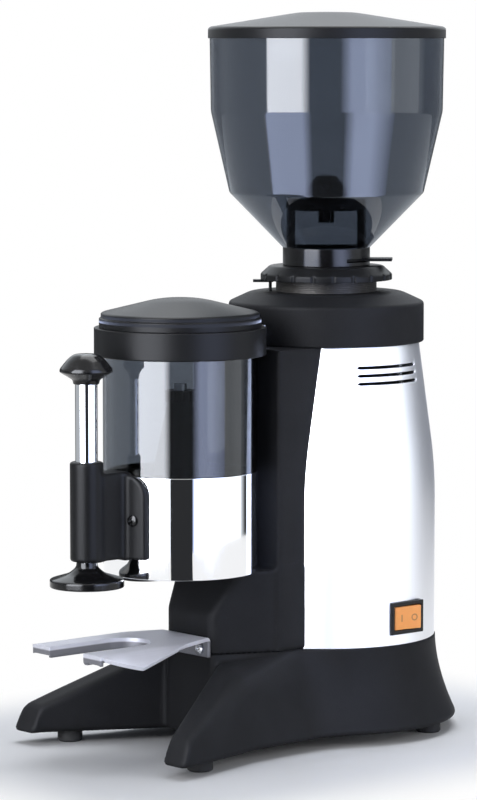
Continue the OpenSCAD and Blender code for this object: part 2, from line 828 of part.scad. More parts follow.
module doser_drum() {
    slot_play = 9;
    color([0.88, 0.89, 0.91]) at_doser()
        difference() {
            tube(drum_r, drum_r - drum_wall, drum_z, drum_h);
            rotate(lever_rest - slot_play) translate([0, 0, lever_z - 0.8])
                rotate_extrude(angle = lever_swing + 2 * slot_play)
                    translate([drum_r - 4, 0]) square([8, lever_t + 1.6]);
        }
}

module doser_window() {
    color([0.4, 0.45, 0.5, 0.45]) at_doser() tube(drum_r, ring_bore, window_z, window_h);
}

module doser_ring() {
    color([0.1, 0.1, 0.11]) at_doser()
        difference() {
            turned([[ring_bore, ring_z], [ring_r - 0.8, ring_z], [ring_r, ring_z + 0.8],
                [ring_r, lid_z - 1.2], [ring_r - 1.2, lid_z], [ring_bore, lid_z]]);
            translate([-chute_half - loose_gap, ring_bore - 6, chute_z - loose_gap])
                cube([2 * (chute_half + loose_gap), 30, chute_h + 2 * loose_gap]);
        }
}

module doser_lid() {
    spigot_r = ring_bore - 0.8;
    color([0.13, 0.13, 0.14]) at_doser()
        difference() {
            turned([[0, lid_z - 5], [spigot_r, lid_z - 5], [spigot_r, lid_z], [lid_r, lid_z],
                [lid_r, lid_z + 7], [lid_r - 1.4, lid_z + 8.2], [lid_r - 1.4, lid_z + 11],
                [lid_r - 3, lid_z + 12], [22, lid_z + 21.6], [12, lid_z + 23], [0, lid_z + 23.3]]);
            turned([[0, lid_z - 6], [spigot_r - 2, lid_z - 6], [spigot_r - 2, lid_z + 8],
                [18, lid_z + 19], [0, lid_z + 20]]);
        }
}

module dosing_plate() {
    color([0.6, 0.61, 0.63]) at_doser()
        difference() {
            tube(drum_r - drum_wall - 0.05, spindle_r + loose_gap, sieve_z, sieve_t);
            translate([0, -outlet_front, sieve_z - 1]) cylinder(r = outlet_r, h = sieve_t + 2);
        }
}

module outlet_funnel() {
    color([0.09, 0.09, 0.1]) at_doser()
        translate([0, -outlet_front, 0])
            tube(outlet_r + outlet_wall, outlet_r, drum_z - 3, sieve_z - drum_z + 3);
}

module doser_star() {
    vane_t = 2;
    color([0.16, 0.16, 0.17]) at_doser()
        difference() {
            union() {
                turned([[0, star_z], [hub_r, star_z], [hub_r - 3, star_z + vane_h + 4],
                    [10, star_z + hub_h],
                    [0, star_z + hub_h]]);
                for (i = [0:5])
                    rotate(i * 60) translate([hub_r / 2, -vane_t / 2, star_z])
                        cube([drum_r - drum_wall - 1.2 - hub_r / 2, vane_t, vane_h]);
            }
            tube(spindle_r + press_gap, 0, star_z - 1, hub_h + 2);
        }
}

module doser_spindle() {
    color([0.75, 0.76, 0.78]) at_doser() tube(spindle_r, 0, drum_z, star_z - drum_z + hub_h + 14);
}

module ratchet_wheel() {
    color([0.6, 0.6, 0.62]) at_doser()
        difference() {
            tube(ratchet_r, spindle_r + press_gap, ratchet_z, ratchet_t);
            for (i = [0:5]) rotate(i * 60) translate([ratchet_r - 3, 0, ratchet_z - 1])
                cube([5, 5, ratchet_t + 2]);
        }
}

module dose_adjuster() {
    top = star_z + hub_h;
    color([0.1, 0.1, 0.11]) at_doser()
        difference() {
            tube(12, spindle_r + press_gap, top, 9);
            for (i = [0:11]) rotate(i * 30) translate([12.8, 0, top - 1])
                cylinder(r = 1.6, h = 11, $fn = fine);
        }
}

// Frame of the lever at rest
module at_lever() { at_doser() rotate(lever_rest) children(); }

module dose_lever() {
    color([0.7, 0.71, 0.73]) at_lever()
        difference() {
            union() {
                tube(lever_hub_r, 0, lever_z, lever_t);
                translate([0, -lever_w / 2, lever_z]) cube([lever_reach, lever_w, lever_t]);
                translate([lever_reach, 0, lever_z]) cylinder(r = lever_w / 2, h = lever_t);
            }
            tube(spindle_r + run_gap, 0, lever_z - 1, lever_t + 2);
        }
}

module lever_pawl() {
    color([0.6, 0.6, 0.62]) at_lever()
        translate([ratchet_r + 0.5, -3, ratchet_z]) cube([8, 6, lever_z - ratchet_z]);
}

module lever_knob() {
    top = lever_z + lever_t;
    color([0.09, 0.09, 0.1]) at_lever()
        translate([lever_reach, 0, 0])
            turned(concat([[0, top], [5.5, top], [6.5, top + 4]], arc(0, top + 11, 9, -40, 90, 10)));
}

module lever_spring() {
    color([0.6, 0.6, 0.62]) at_doser()
        tube(lever_hub_r - 3, lever_hub_r - 6, lever_z + lever_t + 0.4,
            sieve_z - lever_z - lever_t - 0.8);
}

// Outline of the bracket's saddle across the drum, with round upper corners
module saddle_outline() {
    round_r = 16;
    height = saddle_top - bracket_z;
    translate([-saddle_half, 0]) square([2 * saddle_half, height - round_r]);
    translate([-saddle_half + round_r, 0]) square([2 * (saddle_half - round_r), height]);
    for (side = [-1, 1]) translate([side * (saddle_half - round_r), height - round_r])
        circle(r = round_r);
}

module tamper_bracket() {
    color([0.08, 0.08, 0.09])
        difference() {
            union() {
                at_press() tube(nose_r, 0, bracket_z, nose_h);
                at_doser() intersection() {
                    tube(saddle_r + saddle_t, saddle_r, bracket_z, bracket_h);
                    translate([0, 0, bracket_z]) rotate([90, 0, 0]) linear_extrude(2 * drum_r)
                        saddle_outline();
                }
                at_doser() difference() {
                    translate([-nose_r + 1.5, -press_offset, bracket_z])
                        cube([2 * nose_r - 3, press_offset, bracket_h - 4]);
                    tube(saddle_r + 1, 0, bracket_z - 1, bracket_h + 2);
                }
            }
            at_press() tube(shaft_r + run_gap, 0, bracket_z + bracket_floor, bracket_h);
            at_press() tube(thin_r + run_gap, 0, bracket_z - 1, bracket_floor + 2);
            for (p = saddle_screws)
                at_doser() rotate(p[0]) translate([0, -drum_r - 10, bracket_z + p[1]])
                    rotate([-90, 0, 0]) cylinder(r = 2.2, h = 20);
        }
}

module bracket_screws() {
    color([0.3, 0.3, 0.32]) at_doser()
        for (p = saddle_screws)
            rotate(p[0]) translate([0, -saddle_r - saddle_t, bracket_z + p[1]])
                rotate([-90, 0, 0]) pan_screw(4.4, 2.6, 2.1, saddle_t - 0.1);
}

module tamper_shaft() {
    color([0.88, 0.89, 0.91]) at_press() {
        tube(thin_r, 0, disc_z + disc_edge, shaft_step - disc_z - disc_edge + 0.1);
        tube(shaft_r, 0, shaft_step, shaft_top - shaft_step);
    }
}

module tamper_knob() {
    color([0.08, 0.08, 0.09]) at_press()
        difference() {
            turned(concat([[0, knob_z], [shaft_r + 1.2, knob_z], [shaft_r + 2.2, knob_z + 3],
                [knob_r - 2.5, knob_z + knob_waist - 3.6], [knob_r, knob_z + knob_waist - 1.8],
                [knob_r, knob_z + knob_waist]],
                [for (a = [15:15:90]) [knob_r * cos(a), knob_z + knob_waist + knob_crown * sin(a)]]));
            tube(shaft_r + press_gap, 0, knob_z - 1, shaft_top - knob_z + 1);
        }
}

module tamper_disc() {
    top = bracket_z - 0.6;
    color([0.08, 0.08, 0.09]) at_press()
        difference() {
            turned([[0, disc_z], [disc_r - 0.8, disc_z], [disc_r, disc_z + 0.8],
                [disc_r, disc_z + disc_edge - 1.2],
                [disc_r - 1, disc_z + disc_edge], [thin_r + 8, disc_z + 0.7 * disc_neck_z],
                [thin_r + 2.6, disc_z + disc_neck_z], [thin_r + 2, top], [0, top]]);
            tube(thin_r + press_gap, 0, disc_z + disc_edge, disc_neck_z);
        }
}

module tamper_spring() {
    color([0.6, 0.6, 0.62]) at_press()
        tube(shaft_r - 0.4, thin_r + 0.6, bracket_z + bracket_floor + 0.2,
            shaft_step - bracket_z - bracket_floor - 0.6);
}

// Plan of the fork's slot, widened by a margin
module fork_slot(margin) {
    translate([0, -slot_end - slot_half]) circle(r = slot_half + margin);
    translate([-slot_half - margin, -fork_tip - 5])
        square([2 * (slot_half + margin), fork_tip + 5 - slot_end - slot_half]);
}

// Plan of the fork between the folds
module fork_flat() {
    difference() {
        polygon([[-fork_neck_half, -fork_rear], [-fold_x, -flat_back], [-fold_x, -fork_tip],
            [fold_x, -fork_tip],
            [fold_x, -flat_back], [fork_neck_half, -fork_rear]]);
        fork_slot(0);
    }
}

// Rims of the fork, turned down around its slot and along its front
module fork_rims() {
    translate([0, 0, fork_z - slot_rim]) linear_extrude(slot_rim)
        intersection() {
            difference() {
                fork_slot(rim_t);
                fork_slot(0);
            }
            translate([-fold_x, -fork_tip]) square([2 * fold_x, fork_tip]);
        }
    for (side = [-1, 1])
        translate([side * (slot_half + fold_x) / 2 - (fold_x - slot_half) / 2, -fork_tip,
            fork_z - front_rim])
            cube([fold_x - slot_half, rim_t, front_rim]);
}

// A wing of the fork, which slopes down from the fold and is rounded in front
module fork_wing() {
    translate([fold_x, 0, fork_z]) rotate([0, wing_slope, 0]) translate([0, 0, -fork_t])
        linear_extrude(fork_t)
            intersection() {
                polygon([[0, -wing_root], [wing_w - 0.6, -wing_back], [wing_w, -wing_back - 2],
                    [wing_w, -fork_tip], [0, -fork_tip]]);
                translate([wing_curve_x, -wing_curve_y]) circle(r = wing_curve);
            }
}

module portafilter_fork() {
    color([0.8, 0.8, 0.84]) at_burr()
        difference() {
            union() {
                translate([0, 0, fork_z - fork_t]) linear_extrude(fork_t) fork_flat();
                fork_rims();
                fork_wing();
                mirror([1, 0, 0]) fork_wing();
                translate([-fork_neck_half, -fork_rear - fork_t, fork_z - flange_h])
                    cube([2 * fork_neck_half, fork_t, flange_h]);
            }
            for (side = [-1, 1])
                translate([side * fork_screw_x, -fork_rear - 5, fork_z - 10]) rotate([-90, 0, 0])
                    cylinder(r = 2.2, h = 10);
        }
}

module fork_screws() {
    color([0.6, 0.6, 0.62]) at_burr()
        for (side = [-1, 1])
            translate([side * fork_screw_x, -fork_rear - fork_t, fork_z - 10])
                rotate([-90, 0, 0]) pan_screw(4.2, 2.4, 2.1, fork_t - 0.1);
}

base_casting();
base_plate();
base_plate_screws();
rubber_feet();
feet_screws();
front_column();
motor_cover();
burr_housing();
motor_stator();
motor_windings();
motor_rotor();
motor_shaft();
upper_bearing();
lower_bearing();
motor_top_shield();
motor_lower_shield();
motor_tie_rods();
capacitor();
terminal_block();
cord_gland();
switch_housing();
switch_rocker();
lower_burr_carrier();
lower_burr();
lower_burr_screws();
upper_burr();
upper_burr_screws();
upper_burr_carrier();
adjusting_collar();
collar_lock();
hopper_neck();
hopper();
finger_guard();
hopper_gate();
hopper_lid();
grounds_chute();
doser_floor();
doser_drum();
doser_window();
doser_ring();
doser_lid();
dosing_plate();
outlet_funnel();
doser_star();
doser_spindle();
ratchet_wheel();
dose_adjuster();
dose_lever();
lever_pawl();
lever_knob();
lever_spring();
tamper_bracket();
bracket_screws();
tamper_shaft();
tamper_knob();
tamper_disc();
tamper_spring();
portafilter_fork();
fork_screws();
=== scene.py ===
"""Looks of an upright electric coffee grinder with a doser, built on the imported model."""

import math

import bpy
import numpy as np
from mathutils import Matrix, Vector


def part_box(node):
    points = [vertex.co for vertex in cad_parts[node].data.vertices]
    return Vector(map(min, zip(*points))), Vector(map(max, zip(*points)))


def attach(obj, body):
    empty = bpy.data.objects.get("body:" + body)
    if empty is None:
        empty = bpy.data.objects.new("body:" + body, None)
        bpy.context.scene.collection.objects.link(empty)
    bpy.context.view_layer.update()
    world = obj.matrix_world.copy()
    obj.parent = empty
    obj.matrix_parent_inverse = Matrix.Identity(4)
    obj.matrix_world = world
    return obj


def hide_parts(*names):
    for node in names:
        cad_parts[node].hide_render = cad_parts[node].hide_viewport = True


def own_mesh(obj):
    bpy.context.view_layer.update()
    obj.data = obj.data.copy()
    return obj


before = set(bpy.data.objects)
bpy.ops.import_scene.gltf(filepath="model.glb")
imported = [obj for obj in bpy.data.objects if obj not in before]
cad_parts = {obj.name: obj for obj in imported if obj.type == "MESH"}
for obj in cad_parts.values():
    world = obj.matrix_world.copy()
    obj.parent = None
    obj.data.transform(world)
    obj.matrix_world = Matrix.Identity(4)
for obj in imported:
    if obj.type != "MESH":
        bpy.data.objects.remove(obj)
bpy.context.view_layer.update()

bl_info = {
    "name": "Electric coffee grinder",
    "version": (1, 0, 0),
    "blender": (4, 5, 0),
    "location": "View3D > Sidebar > Grinder",
    "description": "Builds the visible pieces and finishes of a coffee grinder with a doser",
    "category": "Object",
}

MM = 0.001


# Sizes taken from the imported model, in millimetres

def span(node):
    """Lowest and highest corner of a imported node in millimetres."""
    low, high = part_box(node)
    return np.array(low) / MM, np.array(high) / MM


def middle(node):
    """Plan position of the upright axis of a round node."""
    low, high = span(node)
    return (low[:2] + high[:2]) / 2


def radius(node):
    """Half the width of a round node."""
    low, high = span(node)
    return (high - low)[0] / 2


def heights(node):
    """Lowest and highest level of a node."""
    low, high = span(node)
    return low[2], high[2]


def four_places(node, inset):
    """Plan places of four like pieces, from their node's box and the radius of a piece."""
    low, high = span(node)
    return [(x, y) for x in (low[0] + inset, high[0] - inset) for y in (low[1] + inset, high[1] - inset)]


BURR = middle("hopper")
DOSER = middle("doser_drum")
PRESS = middle("tamper_disc")
BASE_LOW, BASE_HIGH = span("base_casting")
COLUMN_LOW, COLUMN_HIGH = span("front_column")
COVER_LOW, COVER_HIGH = span("motor_cover")
DRUM_LOW, DRUM_HIGH = span("doser_drum")
HOPPER_LOW, HOPPER_HIGH = span("hopper")
RING_LOW, RING_HIGH = span("doser_ring")
BRACKET_LOW, BRACKET_HIGH = span("tamper_bracket")
FORK_LOW, FORK_HIGH = span("portafilter_fork")
SWITCH_LOW, SWITCH_HIGH = span("switch_housing")
ROCKER_LOW, ROCKER_HIGH = span("switch_rocker")
CHUTE_LOW, CHUTE_HIGH = span("grounds_chute")
FOOT_H = BASE_LOW[2]
BASE_TOP = BASE_HIGH[2]
DRUM_R = radius("doser_drum")
RING_R = radius("doser_ring")
COVER_R = radius("motor_cover")

# Room round pieces that pass through others, and the chute's way through head and ring
CLEARANCE = 0.3
PASSAGE = CHUTE_LOW[2] - CLEARANCE, CHUTE_HIGH[2] + CLEARANCE
PASSAGE_HALF = CHUTE_HIGH[0] + CLEARANCE

# Plan of the block in base and column: half width, front face, face above it, slant across its corners
BLOCK_HALF, BLOCK_FACE, TOWER_FACE = 52, 147, 98
SLANT_SIDE, SLANT_FRONT, SLANT_LENGTH = 49, 24, 54.56


# Settings that a user would change

def length(name, description, value, low, high):
    """A length setting in metres with its default and its limits."""
    return bpy.props.FloatProperty(
        name=name, description=description, default=value, min=low, max=high,
        subtype="DISTANCE", unit="LENGTH")


def colour(name, description, value):
    """A colour setting with its default."""
    return bpy.props.FloatVectorProperty(
        name=name, description=description, default=value, size=3, min=0.0, max=1.0,
        subtype="COLOR")


def light(name, description, value, high):
    """The strength of a light with its default and its upper limit."""
    return bpy.props.FloatProperty(
        name=name, description=description, default=value, min=0.0, max=high)


class GrinderSizes(bpy.types.PropertyGroup):
    """Sizes of edges, walls and surface grain."""

    cast_edge: length("Cast edge", "Rounding of the castings' edges", 0.004, 0.001, 0.01)
    cast_fillet: length("Cast fillet", "Fillet where the legs run into the base", 0.014, 0.002, 0.03)
    moulded_edge: length("Moulded edge", "Rounding of the plastic pieces' edges", 0.0012, 0.0002, 0.003)
    sheet_wall: length("Sheet wall", "Thickness of the motor cover and of the drum", 0.0015, 0.0005, 0.003)
    clear_wall: length("Clear wall", "Thickness of the smoked plastic", 0.0025, 0.001, 0.004)
    fork_bend: length("Fork bend", "Half width of the bend along the fork's wings", 0.003, 0.001, 0.008)
    paint_grain: length("Paint grain", "Size of the grain in the black paint", 0.0011, 0.0003, 0.004)
    moulded_grain: length("Moulded grain", "Size of the grain of the satin plastic", 0.0006, 0.0002, 0.003)
    brush_pitch: length("Brush pitch", "Distance between brush lines on sheet metal", 0.0007, 0.0002, 0.003)
    collar_grips: bpy.props.IntProperty(
        name="Collar grips", description="Number of finger grips round the collar",
        default=20, min=8, max=40)


class GrinderColours(bpy.types.PropertyGroup):
    """Base colours of the finishes."""

    paint: colour("Paint", "Textured black paint of the castings", (0.0125, 0.0128, 0.0142))
    satin: colour("Satin plastic", "Black plastic of lids, ring and bracket", (0.0105, 0.0108, 0.0118))
    gloss: colour("Gloss plastic", "Shiny black plastic of neck, knob and switch", (0.007, 0.007, 0.008))
    cover: colour("Cover", "Satin sheet steel of the motor cover", (0.86, 0.87, 0.90))
    chrome: colour("Chrome", "Plating of the drum and the press shaft", (0.90, 0.91, 0.93))
    stainless: colour("Stainless", "Sheet of the fork", (0.74, 0.75, 0.835))
    steel: colour("Steel", "Screws, lever and turned parts", (0.56, 0.57, 0.59))
    aluminium: colour("Aluminium", "Plain castings inside", (0.60, 0.61, 0.63))
    smoke: colour("Smoked plastic", "Tint of the hopper", (0.195, 0.22, 0.26))
    window: colour("Window", "Tint of the doser's thinner window", (0.26, 0.285, 0.32))
    amber: colour("Amber", "Rocker of the switch", (0.93, 0.36, 0.075))
    amber_mark: colour("Rocker marks", "Bar and ring on the rocker", (0.30, 0.14, 0.035))
    rubber: colour("Rubber", "Feet and cord gland", (0.012, 0.012, 0.012))
    copper: colour("Copper", "Enamelled winding wire", (0.55, 0.22, 0.08))
    lamination: colour("Laminations", "Stacked motor sheets", (0.28, 0.29, 0.31))
    blackened: colour("Blackened brass", "Threaded carrier of the upper burr", (0.030, 0.028, 0.026))
    pale: colour("Pale plastic", "Capacitor and terminal block", (0.62, 0.60, 0.54))
    floor: colour("Floor", "Table that the grinder stands on", (0.70, 0.71, 0.735))


class GrinderStage(bpy.types.PropertyGroup):
    """Camera and light."""

    lens: bpy.props.FloatProperty(
        name="Lens", description="Focal length of the camera",
        default=163.2, min=20, max=400, unit="CAMERA")
    place: bpy.props.FloatVectorProperty(
        name="Camera", description="Place of the camera",
        default=(2.1815, -1.90125, 0.55966), size=3, subtype="TRANSLATION", unit="LENGTH")
    turn: bpy.props.FloatProperty(
        name="Turn", description="Camera turned about the vertical from looking along +Y",
        default=math.radians(49.06), subtype="ANGLE", unit="ROTATION")
    pitch: bpy.props.FloatProperty(
        name="Pitch", description="Camera tipped down from level",
        default=math.radians(5.65), subtype="ANGLE", unit="ROTATION")
    room: light("Room light", "Strength of the even light on matt surfaces", 0.30, 2.0)
    key: light("Key light", "Power of the lamp on the left, in watts", 9.0, 200.0)
    fill: light("Fill light", "Power of the lamp on the right, in watts", 10.0, 200.0)
    top: light("Top light", "Power of the lamp above and behind, in watts", 20.0, 200.0)


# Surfaces as arrays of points in millimetres

def close(points, cells):
    """Merges points that coincide, drops empty cells and turns faces away from the middle."""
    points, same = np.unique(np.round(points, 4), axis=0, return_inverse=True)
    cells = same.reshape(-1)[cells]
    a, b, c, d = np.moveaxis(points[cells] - points.mean(0), 1, 0)
    volume = (np.cross(a, b) * c).sum() + (np.cross(a, c) * d).sum()
    if volume < 0:
        cells = cells[:, ::-1]
    twin = cells == np.roll(cells, -1, axis=1)
    cells, twin = cells[twin.sum(1) < 2], twin[twin.sum(1) < 2]
    first = np.where(twin.any(1), twin.argmax(1), 2)
    cells = np.take_along_axis(cells, (np.arange(4) + first[:, None] - 2) % 4, axis=1)
    return points, cells


def skin(points, wrap=False, keep=None):
    """Quads between the neighbours of a grid of points, joined round its second way if wrapped."""
    rows, columns = points.shape[:2]
    index = np.arange(rows * columns).reshape(rows, columns)
    if wrap:
        index = np.hstack([index, index[:, :1]])
    cells = np.stack([index[:-1, :-1], index[:-1, 1:], index[1:, 1:], index[1:, :-1]], axis=-1)
    cells = cells.reshape(-1, 4) if keep is None else cells[keep]
    return close(points.reshape(-1, 3), cells)


def rounded(corners, radii, closed=False, steps=6):
    """Outline with eased corners: each corner P becomes the parabola (1-t)^2 A + 2t(1-t) P + t^2 B
    between points A and B on its two sides, with a support point beyond either end."""
    p = np.asarray(corners, float)
    before, after = np.roll(p, 1, axis=0) - p, np.roll(p, -1, axis=0) - p
    if not closed:
        before[0], after[-1] = 0, 0
    side = np.maximum(np.linalg.norm(np.stack([before, after]), axis=2), 1e-9)
    most, beyond = 0.45, 1.5
    cut = np.minimum(np.broadcast_to(radii, len(p)), most * side.min(0))
    way = np.stack([before, after]) / side[..., None]
    ends = p + way * cut[:, None]
    far = p + way * np.minimum(beyond * cut, 0.5 * side)[..., None]
    t = np.linspace(0, 1, steps + 1)[:, None]
    arc = (1 - t) ** 2 * ends[0][:, None] + 2 * t * (1 - t) * p[:, None] + t ** 2 * ends[1][:, None]
    line = np.concatenate([far[0][:, None], arc, far[1][:, None]], axis=1).reshape(-1, 2)
    if closed:
        line = np.vstack([line, line[:1]])
    step = np.linalg.norm(np.diff(line, axis=0), axis=1)
    return np.vstack([line[:1], line[1:][step > 1e-5]])


def turned(outline, axis, steps=192, gap=None):
    """Outline (r, z) carried round an upright axis: x = ax + r cos a, y = ay + r sin a.
    A gap (direction, half angle at r, low, high) shifts the columns to its two edges and leaves
    the cells between them open."""
    r, z = outline[:, :1], outline[:, 1:]
    base = np.linspace(-np.pi, np.pi, steps + 1)[None, :-1]
    angle, keep = np.broadcast_to(base, (len(r), steps)), None
    if gap:
        direction, half, low, high = gap
        edge = 2 * np.pi * (steps // 8) / steps
        width = np.broadcast_to(half(np.maximum(r, 1e-6)), r.shape)
        outside = width + (np.abs(base) - edge) * (np.pi - width) / (np.pi - edge)
        angle = np.where(np.abs(base) <= edge, base * width / edge, np.sign(base) * outside)
        angle = angle + math.radians(direction)
        centre = np.abs(base + np.pi / steps)
        level = (z[1:] + z[:-1]) / 2
        keep = ~((centre < edge) & (level > low) & (level < high))
    points = np.stack([axis[0] + r * np.cos(angle), axis[1] + r * np.sin(angle),
                       np.broadcast_to(z, angle.shape)], axis=-1)
    return skin(points, wrap=True, keep=keep)


def opening(direction, half, low, high, most):
    """A gap of an even half width, which takes the angle asin(half / r) at the radius r. The sine goes
    no further than most, so that the gap also ends near the axis."""
    return direction, lambda r: np.arcsin(np.minimum(half / r, most)), low, high


def softmax(a, b, k):
    """The larger of two fields, with the crease between them eased over the width k."""
    return np.maximum(a, b) + np.maximum(k - np.abs(a - b), 0) ** 2 / (4 * k)


def softmin(a, b, k):
    """The smaller of two fields, with the crease between them filled over the width k."""
    return -softmax(-a, -b, k)


def bent(x, stops, values, ease):
    """Straight stretches between stops, averaged over the width ease so that they meet in a bend."""
    return (np.interp(x - ease, stops, values) + 2 * np.interp(x, stops, values)
            + np.interp(x + ease, stops, values)) / 4


def block_slant(side, front):
    """Distance outside the slanting corners of the block that base and column share."""
    return ((side - BLOCK_HALF) * SLANT_SIDE + (front - TOWER_FACE) * SLANT_FRONT) / SLANT_LENGTH


def level_surface(field, low, high, step):
    """Closed surface where field(x, y, z) is zero: a point in every cell of a cubic grid that the
    surface crosses, the mean of its crossings of the cell's edges, slid along the gradient onto the
    surface, and a quad round every grid edge that it crosses."""
    near, most, pull = 0.02 * step, 0.5 * step, 0.6
    low = np.asarray(low, float)
    count = np.ceil((np.asarray(high) - low) / step).astype(int) + 1
    grid = np.meshgrid(*[a + step * np.arange(n) for a, n in zip(low, count)], indexing="ij")
    value = field(*grid)
    cell = tuple(count - 1)
    total, hits = np.zeros(cell + (3,)), np.zeros(cell)
    corners = np.array(np.meshgrid([0, 1], [0, 1], [0, 1], indexing="ij")).reshape(3, -1).T

    def at(corner):
        return value[tuple(slice(c, c + n) for c, n in zip(corner, cell))]

    for axis in range(3):
        for start in corners[corners[:, axis] == 0]:
            end = start + np.eye(3, dtype=int)[axis]
            first, last = at(start), at(end)
            cross = (first < 0) != (last < 0)
            share = np.where(cross, first / np.where(cross, first - last, 1), 0)
            total += cross[..., None] * (start + share[..., None] * (end - start))
            hits += cross
    active = hits > 0
    index = np.full(cell, -1)
    index[active] = np.arange(active.sum())
    points = low + step * (np.argwhere(active) + total[active] / hits[active][:, None])
    cells = []
    inside = value < 0
    for axis in range(3):
        u, v = (axis + 1) % 3, (axis + 2) % 3
        one, more = [slice(None)] * 3, [slice(None)] * 3
        one[axis], more[axis] = slice(0, -1), slice(1, None)
        cross = np.argwhere(inside[tuple(one)] != inside[tuple(more)])
        cross = cross[(cross[:, u] > 0) & (cross[:, v] > 0)]
        du, dv = np.eye(3, dtype=int)[u], np.eye(3, dtype=int)[v]
        ring = np.stack([cross, cross - du, cross - du - dv, cross - dv], axis=1)
        quads = index[tuple(np.moveaxis(ring, 2, 0))]
        flip = inside[tuple(one)][tuple(cross.T)]
        cells.append(np.where(flip[:, None], quads, quads[:, ::-1]))
    cells = np.concatenate(cells)

    def settle(p):
        """One step down the gradient onto the surface."""
        here = field(*p.T)
        change = [field(*(p + near * d).T) - field(*(p - near * d).T) for d in np.eye(3)]
        slope = np.stack(change, 1) / (2 * near)
        move = slope * (here / np.maximum((slope ** 2).sum(1), 1e-6))[:, None]
        return p - np.clip(move, -most, most)

    for _ in range(3):
        points = settle(points)
    for _ in range(3):
        centre = points[cells].mean(1)
        weight = np.bincount(cells.ravel(), minlength=len(points))
        mean = np.stack([np.bincount(cells.ravel(), np.repeat(centre[:, i], 4), len(points))
                         for i in range(3)], 1) / weight[:, None]
        points = settle(settle((1 - pull) * points + pull * mean))
    return close(points, cells)


def coil(axis, radius, wire, low, high, turns):
    """Round wire wound on a helix: centre (R cos a, R sin a, low + wire + pitch a), with a circle
    of the wire's radius across it."""
    per_turn, around = 28, 10
    a = np.linspace(0, 2 * np.pi * turns, per_turn * turns + 1)[:, None]
    b = np.linspace(0, 2 * np.pi, around, endpoint=False)[None, :]
    out = radius + wire * np.cos(b)
    rise = low + wire + (high - low - 2 * wire) * a / a.max()
    tube = np.stack([axis[0] + out * np.cos(a), axis[1] + out * np.sin(a),
                     rise + wire * np.sin(b)], axis=-1)
    ends = tube[[0, -1]].mean(1, keepdims=True) * np.ones((1, around, 1))
    return skin(np.concatenate([ends[:1], tube, ends[1:]]), wrap=True)


def screw_head(seat, out, up, radius, height):
    """Pan head on a seat: height(q) = h sqrt(1 - dome q^2) over the radius q, sunk in a cross whose
    arms are the places where the smaller of |x| and |y| is under an eighth of the head."""
    dome, sunk, skirt = 0.7, 0.55, 0.2
    arm_half, arm_ease, arm_end, end_ease = 0.15, 0.05, 0.58, 0.08
    q = np.concatenate([np.linspace(0, 0.62, 12), np.linspace(0.66, 0.94, 6), [1.0, 1.0]])[:, None]
    a = np.linspace(0, 2 * np.pi, 64, endpoint=False)[None, :]
    x, y = q * np.cos(a), q * np.sin(a)
    rise = height * np.sqrt(1 - dome * q ** 2) * np.ones_like(a)
    arm = np.clip((arm_half - np.minimum(np.abs(x), np.abs(y))) / arm_ease, 0, 1)
    arm = arm * np.clip((arm_end - q) / end_ease, 0, 1)
    rise = rise - sunk * height * arm
    rise[-1] = -skirt
    out, up = np.asarray(out, float), np.asarray(up, float)
    side = np.cross(up, out)
    points = np.asarray(seat) + radius * (x[..., None] * side + y[..., None] * up) + rise[..., None] * out
    under = np.asarray(seat) - skirt * out + 0 * points[:1]
    return skin(np.concatenate([points, under]), wrap=True)


def piece(name, shells, finish, body, nodes=(), sharp=40.0):
    """Joins shells into one object at the origin, seats it on its body and hides what it stands for."""
    starts = np.cumsum([0] + [len(points) for points, _ in shells])
    points = np.concatenate([points for points, _ in shells])
    cells = np.concatenate([cells + start for (_, cells), start in zip(shells, starts)])
    three = cells[:, 2] == cells[:, 3]
    faces = cells[~three].tolist() + cells[three, :3].tolist()
    mesh = bpy.data.meshes.new(name)
    mesh.from_pydata((points * MM).tolist(), [], faces, shade_flat=False)
    mesh.set_sharp_from_angle(angle=math.radians(sharp))
    mesh.materials.append(finish.material)
    made = bpy.data.objects.new(name, mesh)
    bpy.context.scene.collection.objects.link(made)
    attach(made, body)
    if nodes:
        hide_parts(*nodes)
    return made


def turned_piece(name, outline, axis, slot, body, node, steps=256, gap=None):
    """A piece turned about an upright axis, in the place of one node."""
    return piece(name, [turned(outline, axis, steps, gap)], finish_for(slot), body, [node])


def thicken(made, wall, edge, offset=-1.0, angle=50.0):
    """Gives a sheet its wall, on the inner side unless an offset says otherwise, and eases the edges that
    turn by more than the angle."""
    shell = made.modifiers.new("wall", "SOLIDIFY")
    shell.thickness, shell.offset, shell.use_even_offset = wall, offset, True
    ease_edges(made, edge, 2, angle)


def ease_edges(made, width, segments, angle):
    """Rounds the edges that turn by more than the angle."""
    ease = made.modifiers.new("edge", "BEVEL")
    ease.width, ease.segments, ease.limit_method = width, segments, "ANGLE"
    ease.angle_limit = math.radians(angle)


# Finishes

class Value:
    """A socket in a node tree. Arithmetic on it adds Math nodes."""

    def __init__(self, nodes, socket):
        self.nodes, self.socket = nodes, socket

    def __add__(self, other):
        return self.nodes.math("ADD", self, other)

    def __sub__(self, other):
        return self.nodes.math("SUBTRACT", self, other)

    def __rsub__(self, other):
        return self.nodes.math("SUBTRACT", other, self)

    def __mul__(self, other):
        return self.nodes.math("MULTIPLY", self, other)

    def __pow__(self, other):
        return self.nodes.math("POWER", self, other)

    def __abs__(self):
        return self.nodes.math("ABSOLUTE", self, 0.0)

    __radd__ = __add__
    __rmul__ = __mul__

    def step(self, low, high):
        """0 below low and 1 above high, with an eased rise between; high may lie below low."""
        flip = high < low
        return self.nodes.node(
            "ShaderNodeMapRange", {"interpolation_type": "SMOOTHSTEP"},
            {0: self, 1: min(low, high), 2: max(low, high), 3: float(flip), 4: float(not flip)})


